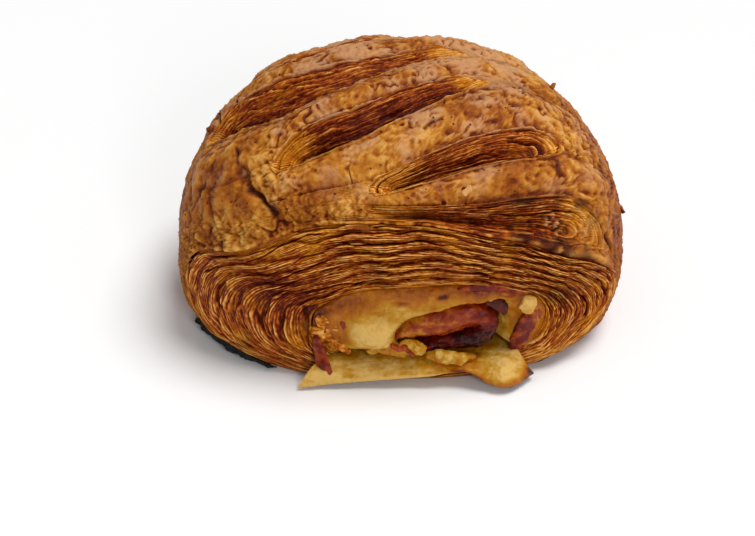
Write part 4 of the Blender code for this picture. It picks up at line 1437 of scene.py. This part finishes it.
def add_burnt(material):
    """The burnt cheese along the foot."""
    count = 220
    along = np.linspace(0.0, 1.0, count)
    angles = np.radians(194.0 + 36.0 * along)
    ragged = rough(np.stack([along * 40.0, along * 0, along * 0], -1), 2.2, 90, 3) * 1.6
    fade = np.sin(math.pi * np.clip(along, 0.05, 0.95)) ** 0.5
    x_way, y_way = np.cos(angles), np.sin(angles)
    lower, upper = [], []
    for step in np.linspace(0.0, 1.0, 14):
        level = 0.15 + 4.4 * step
        thickness = 1.6 * math.sin(math.pi * (0.15 + 0.8 * step))
        z = 0.15 + (level - 0.15) * fade * (1 + 0.3 * ragged)
        near = foot_radius(x_way, y_way, level) - 0.6
        far = near + 0.5 + thickness * (0.3 + 0.7 * fade) * np.clip(0.8 + 1.5 * ragged, 0.0, 2.8)
        lower.append(np.stack([near * x_way, near * y_way, z], -1))
        upper.append(np.stack([far * x_way, far * y_way, z + 0.1], -1))
    points = np.array([lower, upper])
    points = points + 0.35 * each_way(rough, points, 1.8, 91, 2)
    points[..., 2] = np.maximum(points[..., 2], 0.1)
    add_slab("burnt_rim", points, {}, material, "burnt_cheese", "burnt_cheese")


# Loose flakes: place, bearing of the long way in degrees, length, width, lift of the far end, browning
FLAKES = (
    ((17.4, -39.8, 56.5), 78.0, 3.4, 1.8, 0.3, -0.5), ((-53.8, 4.0, 51.6), 160.0, 2.6, 2.2, 0.7, 0.7),
    ((43.8, 14.0, 59.5), 60.0, 2.6, 1.2, 1.2, 0.6), ((63.4, -8.1, 32.0), -75.0, 3.2, 1.4, 0.7, 0.7),
    ((8.7, 19.3, 71.3), 5.0, 5.5, 2.2, 0.5, -0.2), ((30.0, 20.0, 66.0), 20.0, 2.6, 1.6, 0.6, 0.2),
    ((-20.0, 34.0, 58.0), 140.0, 3.0, 2.0, 0.6, 0.4), ((52.0, 22.0, 47.0), 80.0, 2.8, 1.6, 0.6, 0.4),
)


def add_flakes(material):
    """The loose flakes on the crust."""
    across = np.linspace(-1.0, 1.0, 8)
    for number, (place, bearing, length, width, lift, brown) in enumerate(FLAKES):
        middle = np.array(place)
        out = dome_normals(middle)
        way = np.array([math.cos(math.radians(bearing)), math.sin(math.radians(bearing)), 0.0])
        way = way - out * (way @ out)
        way /= np.linalg.norm(way)
        side = np.cross(out, way)
        rows = []
        for step in np.linspace(0.0, 1.0, 12):
            ends = (1 - abs(2 * step - 1) ** 5) ** 0.5
            edge = width / 2 * max(ends, 0.05) * (across + 0.3 * np.sin(7.0 * step + number))
            height = 0.9 + lift * step**2 + 0.2 * np.cos(2.0 * across)
            rows.append(middle + way * length * (step - 0.4) + side * edge[:, None] + out * height[:, None])
        low = np.array(rows)
        uneven = 0.12 * rough(np.array([low, low]), 1.5, 38, 2)[..., None]
        points = np.array([low - out * 0.6, low]) + uneven * out
        masks = {
            "layer": np.zeros(points.shape[:-1]), "edge": np.full(points.shape[:-1], 0.6),
            "toast_and_shade": np.full(points.shape[:-1], brown), "sheen_and_pale": np.full(points.shape[:-1], max(-brown, 0.0)),
        }
        add_slab(f"flake_{number + 1}", points, masks, material, "baked_dough", "pastry")


# Floor, light and camera, in metres and degrees

FLOOR_SIZE = 6.0
LIGHT_AIM = (0.0, 0.0, 0.03)
OVERHEAD_WAY = (0.35, 0.05, 1.0)
FILL_PLACE = (0.25, -0.80, 0.45)
CAMERA_RISE = 34.0
CAMERA_DISTANCE = 0.480
CAMERA_LENS = 75.05
CAMERA_SHIFT = (-0.0297, 0.0229)


def add_stage():
    """The floor, the world and the lights."""
    bpy.ops.mesh.primitive_plane_add(size=FLOOR_SIZE, location=(0.0, 0.0, 0.0))
    floor = bpy.context.object
    floor.name = "floor"
    material, _, _, shader = new_material("floor_white")
    shader.inputs["Base Color"].default_value = (0.93, 0.93, 0.93, 1.0)
    shader.inputs["Roughness"].default_value = 0.9
    shader.inputs["Specular IOR Level"].default_value = 0.1
    floor.data.materials.append(material)
    scene = bpy.context.scene
    scene.view_settings.view_transform = "Standard"
    world = bpy.data.worlds.new("studio")
    world.use_nodes = True
    world.node_tree.nodes["Background"].inputs["Color"].default_value = (1.0, 1.0, 1.0, 1.0)
    world.node_tree.nodes["Background"].inputs["Strength"].default_value = 0.32
    scene.world = world
    overhead = add_light("overhead", "SUN", OVERHEAD_WAY, 2.3)
    overhead.angle = math.radians(32.0)
    front_fill = add_light("front_fill", "AREA", FILL_PLACE, 2.0)
    front_fill.size = 0.22


def add_light(name, kind, place, power):
    """A light at a place, or from its direction, that shines at the roll."""
    data = bpy.data.lights.new(name, kind)
    data.energy = power
    light = bpy.data.objects.new(name, data)
    light.location = place
    light.rotation_euler = (Vector(LIGHT_AIM) - Vector(place)).to_track_quat("-Z", "Y").to_euler()
    bpy.context.scene.collection.objects.link(light)
    return data


def add_camera():
    """The photograph's view: 34 degrees above level, straight at the open end."""
    rise = math.radians(CAMERA_RISE)
    data = bpy.data.cameras.new("camera")
    data.sensor_width = 36.0
    data.lens = CAMERA_LENS
    data.shift_x, data.shift_y = CAMERA_SHIFT
    data.clip_start = 0.01
    camera = bpy.data.objects.new("camera", data)
    camera.location = (0.0, -CAMERA_DISTANCE * math.cos(rise), CAMERA_DISTANCE * math.sin(rise))
    camera.rotation_euler = (math.pi / 2 - rise, 0.0, 0.0)
    bpy.context.scene.collection.objects.link(camera)
    bpy.context.scene.camera = camera


def main():
    angles = columns()
    dough, ham, cheese = dough_material(), ham_material(), cheese_material()
    add_dough(angles, dough)
    add_lining(ham)
    add_fold(ham)
    add_core(cheese)
    add_melted_front(cheese)
    add_mouth_details(cheese, ham, dough)
    add_sheet(cheese)
    add_burnt(burnt_material())
    add_flakes(dough)
    add_stage()
    add_camera()


main()
